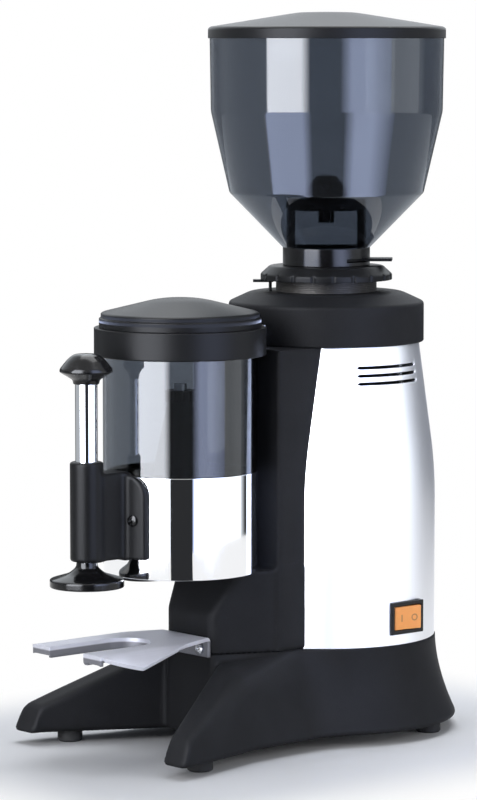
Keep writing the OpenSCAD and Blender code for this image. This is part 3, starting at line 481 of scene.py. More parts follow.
class Nodes:
    """A node tree that starts empty."""

    def __init__(self, tree):
        self.tree = tree
        tree.nodes.clear()

    def add(self, kind, settings=None, inputs=None):
        """Adds a node, sets its settings, then its inputs by value or link."""
        made = self.tree.nodes.new(kind)
        for key, value in (settings or {}).items():
            setattr(made, key, value)
        for key, value in (inputs or {}).items():
            self.feed(made.inputs[key], value)
        return made

    def node(self, kind, settings=None, inputs=None, output=0):
        """Adds a node and returns one of its outputs."""
        return Value(self, self.add(kind, settings, inputs).outputs[output])

    def feed(self, socket, value):
        """Links a value to a socket or writes a plain number there."""
        if isinstance(value, Value):
            self.tree.links.new(value.socket, socket)
        else:
            socket.default_value = value

    def math(self, operation, first, second):
        """One Math node."""
        return self.node("ShaderNodeMath", {"operation": operation}, {0: first, 1: second})

    def mix(self, factor, first, second):
        """One shader running over into another."""
        return self.node("ShaderNodeMixShader", {}, {0: factor, 1: first, 2: second})

    def seen(self):
        """1 for what the camera, metal and glass see, and 0 for what only lights matt surfaces."""
        rays = self.add("ShaderNodeLightPath").outputs
        camera, metal, glass = (
            Value(self, rays[name]) for name in ("Is Camera Ray", "Is Glossy Ray", "Is Transmission Ray"))
        return self.math("MAXIMUM", self.math("MAXIMUM", camera, metal), glass)


class Finish(Nodes):
    """A node material for one of the record's slots."""

    def __init__(self, name, slot):
        self.material = bpy.data.materials.new(name)
        self.material.use_nodes = True
        super().__init__(self.material.node_tree)
        self.slot = slot
        self.shader = self.add("ShaderNodeBsdfPrincipled")
        self.output = self.add("ShaderNodeOutputMaterial")
        self.show(Value(self, self.shader.outputs[0]))
        self.place = self.node("ShaderNodeTexCoord", output="Object")

    def show(self, shader):
        """Makes a shader the one that is rendered."""
        self.feed(self.output.inputs[0], shader)
        return self.material

    def noise(self, size, stretch=(1, 1, 1), detail=2.0):
        """Cloudy noise whose lumps have a size in metres, drawn out by a stretch along each axis."""
        place = self.place
        if stretch != (1, 1, 1):
            place = self.node("ShaderNodeVectorMath", {"operation": "DIVIDE"}, {0: place, 1: stretch})
        return self.node("ShaderNodeTexNoise", {}, {"Vector": place, "Scale": 1 / size, "Detail": detail})

    def lines(self, scale, distortion=0.0, detail=2.0):
        """Level lines, wavy if distorted."""
        return self.node("ShaderNodeTexWave", {"bands_direction": "Z"}, {
            "Vector": self.place, "Scale": scale, "Distortion": distortion, "Detail": detail})

    def axes(self):
        """The three Object coordinates as values."""
        parts = self.add("ShaderNodeSeparateXYZ", {}, {0: self.place})
        return [Value(self, socket) for socket in parts.outputs]

    def blend(self, factor, first, second):
        """Colour between two colours."""
        return self.node(
            "ShaderNodeMix", {"data_type": "RGBA"}, {0: factor, 6: rgba(first), 7: rgba(second)}, output=2)

    def tones(self, factor, value, dark, bright):
        """Colour between a darker and a brighter tone of one colour."""
        return self.blend(factor, shade(value, dark), shade(value, bright))

    def bump(self, height, depth, strength):
        """Relief of a height between 0 and 1 that is depth metres deep."""
        relief = self.node("ShaderNodeBump", {}, {"Height": height, "Distance": depth, "Strength": strength})
        self.feed(self.shader.inputs["Normal"], relief)

    def set(self, **sockets):
        """Writes the shader's sockets, named with underscores for spaces."""
        for key, value in sockets.items():
            self.feed(self.shader.inputs[key.replace("_", " ")], value)
        return self


def rgba(value):
    """A colour with full alpha, or a linked colour as it is."""
    return value if isinstance(value, Value) else tuple(value)[:3] + (1.0,)


def shade(value, factor):
    """A colour made lighter or darker."""
    return tuple(min(1.0, c * factor) for c in value)


FINISHES = {}


def finish_for(slot):
    """The finish of a slot, made the first time that a piece asks for it."""
    if slot not in FINISHES:
        scene = bpy.context.scene
        FINISHES[slot] = RECIPES[slot](
            Finish(slot + "_finish", slot), scene.grinder_colours, scene.grinder_sizes)
    return FINISHES[slot]


def textured_paint(f, colours, sizes):
    """Baked black paint: a fine grain in relief and roughness over slow clouding."""
    grain = f.noise(sizes.paint_grain, detail=3.0)
    cloud = f.noise(0.035, detail=3.0)
    f.bump(grain, 0.00022, 0.55)
    return f.set(Base_Color=f.tones(0.6 * cloud + 0.5 * grain, colours.paint, 0.55, 1.7),
                 Roughness=0.42 + 0.22 * grain, Specular_IOR_Level=0.07)


def satin_plastic(f, colours, sizes):
    """Moulded black plastic with an even spark texture."""
    grain = f.noise(sizes.moulded_grain)
    cloud = f.noise(0.05)
    f.bump(grain, 0.00008, 0.35)
    return f.set(Base_Color=f.tones(cloud, colours.satin, 0.7, 1.4),
                 Roughness=0.30 + 0.12 * grain, Specular_IOR_Level=0.10)


def gloss_plastic(f, colours, sizes):
    """Polished black plastic with faint flow waves and rub marks."""
    wave = f.noise(0.02, detail=1.0)
    rub = f.noise(0.006, stretch=(1, 1, 6), detail=4.0)
    f.bump(wave, 0.0004, 0.06)
    return f.set(Base_Color=f.tones(wave, colours.gloss, 0.8, 1.3),
                 Roughness=0.12 + 0.14 * rub.step(0.35, 0.8), Specular_IOR_Level=0.28)


def satin_cover(f, colours, sizes):
    """Ground sheet steel: fine upright brush lines in roughness and relief over slow clouding."""
    brush = f.noise(sizes.brush_pitch, stretch=(1, 1, 60), detail=3.0)
    cloud = f.noise(0.06)
    f.bump(brush, 0.00002, 0.25)
    return f.set(Base_Color=f.tones(brush, colours.cover, 0.95, 1.03),
                 Roughness=0.35 + 0.06 * brush + 0.04 * cloud, Metallic=1.0)


def chrome_plate(f, colours, sizes):
    """Chrome plate: a mirror with slight handling smears."""
    smear = f.noise(0.03, stretch=(1, 1, 2), detail=4.0)
    wave = f.noise(0.045, detail=0.0)
    f.bump(wave, 0.0003, 0.04)
    return f.set(Base_Color=f.tones(smear, colours.chrome, 0.97, 1.0),
                 Roughness=0.035 + 0.06 * smear.step(0.5, 0.85), Metallic=1.0)


def brushed_sheet(f, colours, sizes):
    """Satin stainless sheet brushed along the fork, with painted dark reflection on its turned-down rims and
    flange.
    """
    brush = f.noise(3.0 * sizes.brush_pitch, stretch=(1, 30, 1))
    rub = f.noise(0.02)
    across, _, upright = f.axes()
    # Painted dark reflection: below the flat top, the turned-down rims and flange are blended 78% toward a
    # tenth of the sheet colour
    rim = (1.0 - upright.step(0.0872, 0.0884)) * (1.0 - abs(across).step(0.0430, 0.0440))
    sheet = f.tones(0.7 * brush + 0.3 * rub, colours.stainless, 0.93, 1.06)
    f.bump(brush, 0.00003, 0.02)
    return f.set(Base_Color=f.blend(0.78 * rim, sheet, shade(colours.stainless, 0.1)),
                 Roughness=0.28 + 0.06 * brush + 0.06 * rub, Metallic=0.22, Specular_IOR_Level=0.15)


def turned_steel(f, colours, sizes):
    """Turned or drawn steel with fine tool marks round the axis."""
    mark = f.noise(0.0005, stretch=(30, 30, 1))
    cloud = f.noise(0.012, detail=3.0)
    f.bump(mark, 0.00002, 0.4)
    return f.set(Base_Color=f.tones(cloud, colours.steel, 0.82, 1.15),
                 Roughness=0.24 + 0.14 * mark + 0.08 * cloud, Metallic=1.0)


def plain_casting(f, colours, sizes):
    """Bare cast aluminium with a sandy skin."""
    sand = f.noise(0.0012, detail=4.0)
    cloud = f.noise(0.03)
    f.bump(sand, 0.0002, 0.4)
    return f.set(Base_Color=f.tones(0.5 * sand + 0.5 * cloud, colours.aluminium, 0.75, 1.0),
                 Roughness=0.48 + 0.2 * sand, Metallic=1.0)


def stacked_sheets(f, colours, sizes):
    """Motor laminations: half-millimetre sheets seen edge on."""
    line = f.lines(320.0)
    cloud = f.noise(0.01, detail=3.0)
    f.bump(line, 0.0001, 0.5)
    return f.set(Base_Color=f.tones(0.6 * line + 0.4 * cloud, colours.lamination, 0.55, 1.0),
                 Roughness=0.42 + 0.2 * cloud, Metallic=0.85)


def wound_copper(f, colours, sizes):
    """Enamelled wire lying side by side, with lacing shadows."""
    wire = f.lines(260.0, distortion=2.5, detail=1.0)
    cloud = f.noise(0.008)
    f.bump(wire, 0.0006, 0.8)
    return f.set(Base_Color=f.tones(0.7 * wire + 0.3 * cloud, colours.copper, 0.35, 1.0),
                 Roughness=0.28 + 0.15 * cloud, Metallic=0.7, Coat_Weight=0.5)


def blackened_thread(f, colours, sizes):
    """Blackened brass with a fine turned thread."""
    thread = f.lines(220.0)
    rub = f.noise(0.004, detail=4.0)
    f.bump(thread, 0.0003, 0.5)
    return f.set(Base_Color=f.tones(rub.step(0.55, 0.8), colours.blackened, 1.0, 2.2),
                 Roughness=0.38 + 0.15 * rub, Metallic=0.6)


def smoked_plastic(f, colours, sizes):
    """Smoked clear plastic with faint moulding flow and fine scratches in the polish. The window, which is
    below the hopper, has a tint of its own."""
    flow = f.noise(0.03, stretch=(1, 1, 3))
    scratch = f.noise(0.002, stretch=(1, 1, 14), detail=4.0)
    upright = f.axes()[2]
    tint = f.blend(upright.step(0.34, 0.38), colours.window, colours.smoke)
    f.bump(flow, 0.0003, 0.05)
    return f.set(Base_Color=f.blend(0.08 * flow, tint, (0.30, 0.32, 0.36)),
                 Roughness=0.012 + 0.02 * scratch.step(0.6, 0.85), Transmission_Weight=1.0, IOR=1.5)


def amber_rocker(f, colours, sizes):
    """Amber plastic with a plain bar on one half and a ring on the other."""
    middle_y, middle_z = (float(v) for v in (ROCKER_LOW + ROCKER_HIGH)[1:] / 2 * MM)
    _, y, z = f.axes()
    across, upright = y - middle_y, z - middle_z
    apart = 0.0062
    bar = abs(across + apart).step(0.0008, 0.0005) * abs(upright).step(0.0030, 0.0026)
    reach = ((across - apart) ** 2.0 + upright ** 2.0) ** 0.5
    ring = abs(reach - 0.0023).step(0.0007, 0.0004)
    cloud = f.noise(0.006)
    body = f.tones(cloud, colours.amber, 0.9, 1.06)
    f.bump(bar + ring, 0.00025, -0.4)
    return f.set(Base_Color=f.blend(0.8 * (bar + ring), body, colours.amber_mark),
                 Roughness=0.26 + 0.12 * cloud, Coat_Weight=0.25, Subsurface_Weight=0.15,
                 Subsurface_Radius=(0.004, 0.002, 0.001))


def pale_moulding(f, colours, sizes):
    """Pale moulded plastic with a dusty mottling."""
    dust = f.noise(0.01, detail=4.0)
    grain = f.noise(0.0008)
    f.bump(grain, 0.00006, 0.4)
    return f.set(Base_Color=f.tones(dust, colours.pale, 0.82, 1.0), Roughness=0.42 + 0.2 * dust)


def soft_rubber(f, colours, sizes):
    """Matt rubber with a dusty bloom."""
    bloom = f.noise(0.004, detail=4.0)
    grain = f.noise(0.0005)
    f.bump(grain, 0.00008, 0.5)
    return f.set(Base_Color=f.tones(bloom, colours.rubber, 0.8, 1.8),
                 Roughness=0.62 + 0.2 * bloom, Specular_IOR_Level=0.3)


RECIPES = {
    "black_cast_aluminium": textured_paint,
    "polished_cover": satin_cover,
    "chrome": chrome_plate,
    "stainless": brushed_sheet,
    "bright_steel": turned_steel,
    "cast_aluminium": plain_casting,
    "laminations": stacked_sheets,
    "copper_wire": wound_copper,
    "blackened_brass": blackened_thread,
    "black_plastic": satin_plastic,
    "gloss_black": gloss_plastic,
    "smoked_plastic": smoked_plastic,
    "amber_plastic": amber_rocker,
    "pale_plastic": pale_moulding,
    "black_rubber": soft_rubber,
}


# Pieces

class GRINDER_OT_base(bpy.types.Operator):
    """Base casting with its flared rear and two splayed legs, and its rubber feet"""

    bl_idname = "grinder.base"
    bl_label = "Base and feet"

    def execute(self, context):
        sizes = context.scene.grinder_sizes
        edge, fillet = sizes.cast_edge / MM, sizes.cast_fillet / MM
        shoulder, flare, power = COVER_R + 0.8, BASE_HIGH[1] - BURR[1] + 1.05, 1.8
        height, wall = BASE_TOP - FOOT_H, 6
        well_r, upper_well_r, ledge = 70, 84, FOOT_H + 12
        plate_r, plate_top = radius("base_plate") + 0.5, FOOT_H + 1.6
        gland_low, gland_high = span("cord_gland")
        gland_z, gland_r, gland_seat = (gland_low + gland_high)[2] / 2, 11.5, 96.3
        leg_x, knee = BASE_HIGH[0], BASE_TOP - 8
        toe, toe_top = BURR[1] - BASE_LOW[1] - 7.5, FOOT_H + 20.6
        stops = [90, 151, toe]

        def body(x, y, z):
            """Bell r = flare curve of the height, the block under the column and two legs whose planes
            change along their length, joined with fillets, less the well, the pocket in the block and
            the gland's seat. Leaning planes are divided by their slope, so that they stay distances."""
            front, side = BURR[1] - y, np.abs(x)
            r = np.hypot(x, front)

            def along(values):
                """Values at the root, knee and toe of a leg, carried along it."""
                return bent(front, stops, values, 6)

            share = np.clip(1 - (z - FOOT_H) / height, 0, 1.1)
            curve = shoulder + (flare - shoulder) * share ** power
            lean = power * (flare - shoulder) / height * share ** (power - 1)
            bell = (r - curve) / np.sqrt(1 + lean ** 2)
            slant = block_slant(side, front)
            block = softmax(softmax(side - BLOCK_HALF, front - BLOCK_FACE, edge), slant, edge)
            block = softmax(block, 30 - front, 1)
            outer = side - along([86, 88, leg_x]) + along([0.39, 0.23, 0.1]) * (z - FOOT_H)
            shelf = (along([0.89, 0.56, 0.99]) * (side - along([56, 64, leg_x - 2]))
                     + along([0.45, 0.83, 0.1]) * (z - along([BASE_TOP, knee, toe_top])))
            ridge = bent(front, [*stops[:2], toe - 0.3, toe + 7.7],
                         [BASE_TOP, knee + 0.3, toe_top + 0.3, FOOT_H - 0.4], 3)
            inner = along([-6, 33, leg_x - 28.5]) + 0.06 * (z - FOOT_H) - side
            leg = softmax(softmax(outer / 1.05, shelf, 6), (z - ridge) / 1.08, 7)
            leg = softmax(leg, inner / 1.12, 1.3 * edge)
            leg = softmax(leg, 40 - front, 2)
            mass = softmin(softmin(bell, leg, fillet), block, 6)
            mass = softmax(mass, FOOT_H - z, 1.2 * edge)
            mass = softmax(mass, z - BASE_TOP, 1.2)
            well = np.minimum(r - well_r, np.maximum(r - upper_well_r, ledge - z))
            well = np.minimum(well, np.maximum(r - plate_r, z - plate_top))
            pocket = np.maximum.reduce([
                side - BLOCK_HALF + wall, front - BLOCK_FACE + wall, slant + wall, z - BASE_TOP + wall,
                upper_well_r + wall - r, -front])
            mouth = np.maximum(np.hypot(x, z - gland_z) - gland_r, front + gland_seat)
            return np.maximum.reduce([mass, -well, -pocket, -mouth])

        shell = level_surface(body, BASE_LOW - 3, BASE_HIGH + 3, 2.1)
        piece("base", [shell], finish_for("black_cast_aluminium"), "body", ["base_casting"], sharp=50)

        r, bore, sink_r, sink = 10.0, 2.7, 5, 5
        outline = rounded([[bore, FOOT_H], [r, FOOT_H], [r, 1.2], [r - 1.2, 0], [sink_r, 0],
                           [sink_r, sink], [bore, sink]],
                          [0, 0.6, 0.6, 0.6, 0.5, 0.4, 0.3], closed=True)
        shells = [turned(outline, spot, 48) for spot in four_places("rubber_feet", r)]
        piece("feet", shells, finish_for("black_rubber"), "body", ["rubber_feet"])
        return {"FINISHED"}


class GRINDER_OT_column(bpy.types.Operator):
    """Column behind the doser with the wider block under it"""

    bl_idname = "grinder.column"
    bl_label = "Column"

    def execute(self, context):
        edge = context.scene.grinder_sizes.cast_edge / MM
        top, low = COLUMN_HIGH[2], COLUMN_LOW[2]
        drum_z, half = DRUM_LOW[2], COLUMN_HIGH[0]
        room_r, rear = 66, 45
        offset = BURR[1] - DOSER[1]
        outside = -1e3

        def body(x, y, z):
            """Chamfered block with a sloping chin, filleted to a box above it, less the motor's room
            and the round seats of drum and ring. The chin is divided by its slope."""
            front, side = BURR[1] - y, np.abs(x)
            slant = block_slant(side, front)
            chin = bent(z, [low, low + 32, low + 50, drum_z], [BLOCK_FACE, BLOCK_FACE, 136, 126], 2.5)
            block = softmax(softmax(side - half + 1, (front - chin) / 1.15, edge), slant, 1.5 * edge)
            block = softmax(block, z - drum_z + 0.05, 1.5)
            tower = softmax(softmax(side - half, front - TOWER_FACE, edge), z - top, 1.5)
            mass = np.maximum.reduce([softmin(block, tower, 5), low - z, rear - front])
            mass = softmax(mass, room_r - np.hypot(x, front), 1)
            away = np.hypot(x, front - offset)
            seat = np.where(z > drum_z, DRUM_R + CLEARANCE - away, outside)
            seat = np.where(z > RING_LOW[2] - CLEARANCE, RING_R + CLEARANCE - away, seat)
            return softmax(mass, seat, 1)

        shell = level_surface(body, COLUMN_LOW - [3, 3, 3], COLUMN_HIGH + [3, 6, 3], 2.0)
        piece("column", [shell], finish_for("black_cast_aluminium"), "body", ["front_column"], sharp=50)
        return {"FINISHED"}


class GRINDER_OT_cover(bpy.types.Operator):
    """Sheet cover of the motor with its cooling slots"""

    bl_idname = "grinder.cover"
    bl_label = "Motor cover"

    def execute(self, context):
        sizes = context.scene.grinder_sizes
        low, high = COVER_LOW[2], COVER_HIGH[2]
        half, tall, end = 24.0, 2.6, 1.2
        first, pitch = high - 16.2, 6.35
        slots = [first - pitch * i for i in range(3)]
        bend_low, bend_high, top_r = 189.0, 239.0, 75.5
        bend_mid = (bend_low + bend_high) / 2
        step_z, gap = DRUM_LOW[2], 0.2
        frame_low, frame_high = SWITCH_LOW[2] - gap, SWITCH_HIGH[2] + gap
        frame_from = math.degrees(math.asin((SWITCH_LOW[1] - gap - BURR[1]) / COVER_R))
        frame_to = math.degrees(math.asin((SWITCH_HIGH[1] + gap - BURR[1]) / COVER_R))

        marks = [low, frame_low, frame_high, step_z, bend_low, bend_high, high]
        marks += [z + s * tall / 2 for z in slots for s in (-1, 1)]
        z = np.unique(np.concatenate([marks, np.linspace(low + 0.8, high - 0.8, 70)]))
        z = z[np.concatenate([[True], np.diff(z) > 0.35])]
        z = np.unique(np.round(np.concatenate([z, marks]), 4))[:, None]
        t = np.clip((z - bend_low) / (bend_high - bend_low), 0, 1)
        drop = (COVER_R - top_r) / (high - bend_mid)
        r = COVER_R - drop * np.where(z > bend_high, z - bend_mid, (bend_high - bend_mid) * t ** 2)

        cut = COLUMN_HIGH[0] + np.where(z > step_z + 0.3, 0.35, -0.65)
        start = -np.degrees(np.arccos(cut / r))
        stops = np.concatenate([
            np.linspace(-half, frame_from, 12)[:-1], np.linspace(frame_from, frame_to, 9),
            np.linspace(frame_to, half, 8)[1:], np.linspace(half, 180 - half, 60)[1:],
            np.linspace(180 - half, 180 + half, 28)[1:]])
        lead = np.linspace(0, 1, 14)[None, :-1]
        angle = np.hstack([start + (stops[0] - start) * lead, np.broadcast_to(stops, (len(z), len(stops))),
                           180 + half + (-start - half) * (1 - lead[:, ::-1])])

        def beside(turn):
            """Degrees from the middle of the slots on the nearer side."""
            return np.abs((turn + 90) % 180 - 90)

        across = beside(angle)
        squeeze = np.sqrt(np.clip(1 - ((across - half + end) / end).clip(0, 1) ** 2, 0, 1))
        level = np.broadcast_to(z, angle.shape).copy()
        for middle_z in slots:
            near = np.abs(z - middle_z) <= tall / 2 + 1e-3
            inside = near & (across <= half + 1e-6)
            level = np.where(inside, middle_z + (z - middle_z) * np.maximum(squeeze, 0.02), level)
        a = np.radians(angle)
        points = np.stack([BURR[0] + r * np.cos(a), BURR[1] + r * np.sin(a), level], axis=-1)
        mid_z, mid_a = (z[1:] + z[:-1]) / 2, (angle[:-1, 1:] + angle[:-1, :-1]) / 2
        keep = ~((mid_z > frame_low) & (mid_z < frame_high) & (mid_a > frame_from) & (mid_a < frame_to))
        for middle_z in slots:
            keep &= ~((np.abs(mid_z - middle_z) < tall / 2) & (beside(mid_a) < half))
        shell = skin(points, keep=keep)
        made = piece("cover", [shell], finish_for("polished_cover"), "body", ["motor_cover"])
        thicken(made, sizes.sheet_wall, 0.0003)
        return {"FINISHED"}


class GRINDER_OT_head(bpy.types.Operator):
    """Grinding head: housing and adjusting collar"""

    bl_idname = "grinder.head"
    bl_label = "Grinding head"

    def execute(self, context):
        sizes = context.scene.grinder_sizes
        edge, grips = sizes.cast_edge / MM, sizes.collar_grips
        low, high = heights("burr_housing")
        r, shoulder, shaft, bore, mouth = radius("burr_housing"), 61.6, 8, 36.5, 39.9
        seat = heights("upper_burr_carrier")[0] - 0.6
        outline = rounded(
            [[shaft, low], [r - 0.6, low], [r, low + 0.8], [r, PASSAGE[0]], [r, PASSAGE[1]],
             [r, high - 8.3], [shoulder, high], [mouth, high], [mouth, seat], [bore, seat],
             [bore, PASSAGE[1]], [bore, PASSAGE[0]], [shaft, PASSAGE[0]]],
            [0.3, 0.8, 0.8, 0, 0, 0.6 * edge, edge, 0.6, 0.3, 0.3, 0, 0, 0.3], closed=True)
        gap = opening(-90.0, PASSAGE_HALF, *PASSAGE, 0.9)
        turned_piece("head_housing", outline, BURR, "black_cast_aluminium", "body", "burr_housing", gap=gap)

        low, high = heights("adjusting_collar")
        r, bore = radius("adjusting_collar"), 33
        outline = rounded([[bore, low], [r - 0.3, low], [r, low + 0.3], [r, low + 4.6], [r - 7.5, high],
                           [bore, high]],
                          [0.3, 0.4, 0.4, 1.2, 1.5, 0.5], closed=True, steps=5)
        points, cells = turned(outline, BURR, 16 * grips)
        flat = points[:, :2] - BURR
        away, angle = np.hypot(*flat.T), np.arctan2(flat[:, 1], flat[:, 0])
        part = 2 * np.pi / grips
        off = (angle + part / 2) % part - part / 2
        grip_r, grip_ring = 2.4, r + 1.2
        chord = np.sqrt(np.clip(grip_r ** 2 - (grip_ring * np.sin(off)) ** 2, 0, None))
        scale = np.minimum(away, grip_ring * np.cos(off) - chord) / away
        points = np.column_stack([BURR + flat * scale[:, None], points[:, 2]])
        piece("collar", [(points, cells)], finish_for("black_plastic"), "collar", ["adjusting_collar"])
        return {"FINISHED"}


class GRINDER_OT_hopper(bpy.types.Operator):
    """Bean hopper with its neck and lid"""

    bl_idname = "grinder.hopper"
    bl_label = "Hopper"

    def execute(self, context):
        wall = context.scene.grinder_sizes.clear_wall / MM
        low, high = HOPPER_LOW[2], HOPPER_HIGH[2]
        r, neck_r = radius("hopper"), 35.5
        outer = [[neck_r, low], [78.9, low + 44.6], [r - 1, low + 110.4], [r, high]]
        inner = [[q - wall, z] for q, z in outer[::-1]]
        outline = rounded(outer + inner, [0.5, 1.6, 2.5, 0.7, 0.7, 2.5, 1.6, 0.5], closed=True, steps=7)
        turned_piece("bean_hopper", outline, BURR, "smoked_plastic", "hopper_unit", "hopper")

        neck_low, neck_high = heights("hopper_neck")
        gate_low, gate_high = heights("hopper_gate")
        seat = heights("adjusting_collar")[1] + 0.1
        slot_low, slot_high = gate_low - CLEARANCE, gate_high + CLEARANCE
        bore, slot_r, spigot = 30, 31.3, 32.7
        outline = rounded(
            [[bore, neck_low], [spigot, neck_low], [spigot, seat], [neck_r, seat], [neck_r, slot_low],
             [neck_r, slot_high], [neck_r, neck_high], [bore, neck_high], [bore, slot_high],
             [slot_r, slot_high], [slot_r, slot_low], [bore, slot_low]],
            [0.4, 0.4, 0.2, 0.5, 0, 0, 0.6, 0.5, 0.1, 0, 0, 0.1], closed=True)
        gap = opening(45.0, 30.6, slot_low, slot_high, 0.98)
        turned_piece("neck", outline, BURR, "gloss_black", "hopper_unit", "hopper_neck", 192, gap)

        low, top = heights("hopper_lid")
        r, rib, rib_in = radius("hopper_lid"), 91.5, 89.5
        outline = rounded(
            [[0, top], [22, top - 0.4], [34, top - 2.2], [r - 2, high + 3.5], [r, high + 2.0], [r, low],
             [r - 1, low], [r - 1, high], [rib, high], [rib, low], [rib_in, low], [rib_in, high + 0.5],
             [28, high + 9], [0, high + 10]],
            [0, 6, 8, 2.0, 1.2, 0.4, 0.4, 0.3, 0.3, 0.4, 0.4, 0.6, 6, 0])
        turned_piece("hopper_cap", outline, BURR, "black_plastic", "hopper_cover", "hopper_lid")
        return {"FINISHED"}


class GRINDER_OT_doser(bpy.types.Operator):
    """Dosing chamber: chrome drum, smoked window, ring and lid"""

    bl_idname = "grinder.doser"
    bl_label = "Doser"

    def execute(self, context):
        sizes = context.scene.grinder_sizes
        wall, edge = sizes.clear_wall / MM, sizes.moulded_edge / MM
        lever_low, lever_high = heights("dose_lever")
        slot_low, slot_high = lever_low - 0.8, lever_high + 0.8
        slot_middle, slot_half = 198.0, math.radians(39.0)
        low, high = DRUM_LOW[2], DRUM_HIGH[2]
        rows = np.array([[DRUM_R, z] for z in (
            low, low + 0.5, slot_low, slot_high, slot_high + 8, high - 20, high - 0.5, high)])
        gap = (slot_middle, lambda r: slot_half, slot_low, slot_high)
        made = turned_piece("drum", rows, DOSER, "chrome", "body", "doser_drum", gap=gap)
        thicken(made, sizes.sheet_wall, 0.0004)

        low, high = heights("doser_window")
        bore = DRUM_R - wall
        outline = rounded([[bore, low], [DRUM_R, low], [DRUM_R, high], [bore, high]], 0.35, closed=True)
        turned_piece("window", outline, DOSER, "smoked_plastic", "body", "doser_window")

        low, seat = RING_LOW[2], RING_HIGH[2]
        outline = rounded(
            [[bore, low], [RING_R, low], [RING_R, PASSAGE[0]], [RING_R, PASSAGE[1]], [RING_R, seat],
             [bore, seat], [bore, PASSAGE[1]], [bore, PASSAGE[0]]],
            [0.5, edge, 0, 0, 1.2, 0.6, 0, 0], closed=True)
        gap = opening(90.0, PASSAGE_HALF, *PASSAGE, 0.9)
        turned_piece("ring", outline, DOSER, "black_plastic", "body", "doser_ring", gap=gap)

        low, top = heights("doser_lid")
        r, rib, rib_in = radius("doser_lid"), bore - 0.8, bore - 2.8
        outline = rounded(
            [[0, top], [12, top - 0.3], [22, top - 1.7], [r - 3, seat + 12], [r - 1.4, seat + 11],
             [r - 1.4, seat + 8.0], [r, seat + 7.2], [r, seat + 0.05], [rib, seat + 0.05], [rib, low],
             [rib_in, low], [rib_in, seat + 8], [18, seat + 19], [0, seat + 20]],
            [0, 5, 6, 1.6, 0.8, 0.3, 0.8, 0.4, 0.2, 0.5, 0.5, 0.8, 5, 0])
        turned_piece("doser_cap", outline, DOSER, "black_plastic", "doser_cover", "doser_lid")
        return {"FINISHED"}


class GRINDER_OT_press(bpy.types.Operator):
    """Hand press: bracket on the drum, shaft, knob and disc"""

    bl_idname = "grinder.press"
    bl_label = "Press"

    def execute(self, context):
        low, high = BRACKET_LOW[2], BRACKET_HIGH[2]
        offset = DOSER[1] - PRESS[1]
        shaft_low, shaft_high = heights("tamper_shaft")
        shaft_r = radius("tamper_shaft")
        thin_r, nose = shaft_r - 2.7, shaft_r + 4.3
        saddle_t, saddle_top, saddle_flat, corner_r = 5, low + 65.5, 12, 16
        web_top, floor_top = low + 68, low + 11
        snug, slide = 0.05, 0.08

        def body(x, y, z):
            """Round nose about the shaft and a saddle on the drum, joined by a web with fillets, with the
            saddle's upper corners rounded and the two bores of the shaft cut out."""
            front, side = DOSER[1] - y, np.abs(x)
            away, shaft = np.hypot(x, front), np.hypot(x, front - offset)
            tube = softmax(softmax(shaft - nose, z - high, 2.5), low - z, 2.5)
            rise = np.maximum(z - saddle_top + corner_r, 0)
            corner = np.hypot(np.maximum(side - saddle_flat, 0), rise) - corner_r
            saddle = softmax(away - DRUM_R - saddle_t, np.maximum(DRUM_R + snug - away, -front), 1.5)
            saddle = softmax(softmax(saddle, corner, 2.5), low - z, 1.5)
            web = np.maximum.reduce([side - nose + 1.8, DRUM_R + 1 - away, front - offset])
            web = softmax(softmax(web, z - web_top, 3), low - z, 2.0)
            mass = softmin(softmin(tube, web, 2.5), saddle, 5)
            mass = np.maximum(mass, DRUM_R + snug - away)
            bore = np.maximum(shaft - shaft_r - slide, floor_top - z)
            return np.maximum.reduce([mass, -bore, thin_r + slide - shaft])

        shell = level_surface(body, BRACKET_LOW - 2, BRACKET_HIGH + 2, 1.15)
        piece("bracket", [shell], finish_for("black_plastic"), "body", ["tamper_bracket"], sharp=50)

        step = heights("tamper_spring")[1] + 0.4
        outline = rounded([[0, shaft_low], [thin_r, shaft_low], [thin_r, step], [shaft_r, step],
                           [shaft_r, shaft_high], [0, shaft_high]], [0, 0.3, 0.2, 0.4, 0.4, 0])
        turned_piece("press_shaft", outline, PRESS, "chrome", "press", "tamper_shaft", 128)

        low, high = heights("tamper_knob")
        r, bore, end = radius("tamper_knob"), shaft_r + 0.02, shaft_high + 0.02
        outline = rounded(
            [[bore, low], [shaft_r + 1.2, low], [shaft_r + 2.0, low + 3.4], [r - 4.0, low + 7.2],
             [r, low + 9.6], [r - 0.6, low + 12.2], [r - 6.5, high - 4.6], [r - 11, high - 0.9], [0, high],
             [0, end], [bore, end]],
            [0.2, 0.6, 2.4, 3.0, 1.3, 1.8, 4.0, 4.5, 0, 0, 0.2], steps=8)
        outline = np.vstack([outline, outline[:1]])
        turned_piece("press_knob", outline, PRESS, "gloss_black", "press", "tamper_knob", 128)

        low, high = heights("tamper_disc")
        r, bore = radius("tamper_disc"), thin_r + 0.02
        outline = rounded(
            [[0, low], [r, low], [r, low + 6.0], [r - 2.5, low + 6.9], [thin_r + 8, low + 10.6],
             [thin_r + 2.6, low + 15.4], [thin_r + 2.0, high], [bore, high], [bore, shaft_low],
             [0, shaft_low]],
            [0, 1.0, 1.6, 1.2, 5.0, 3.0, 0.3, 0.1, 0.1, 0], steps=7)
        turned_piece("press_disc", outline, PRESS, "gloss_black", "press", "tamper_disc", 192)
        return {"FINISHED"}


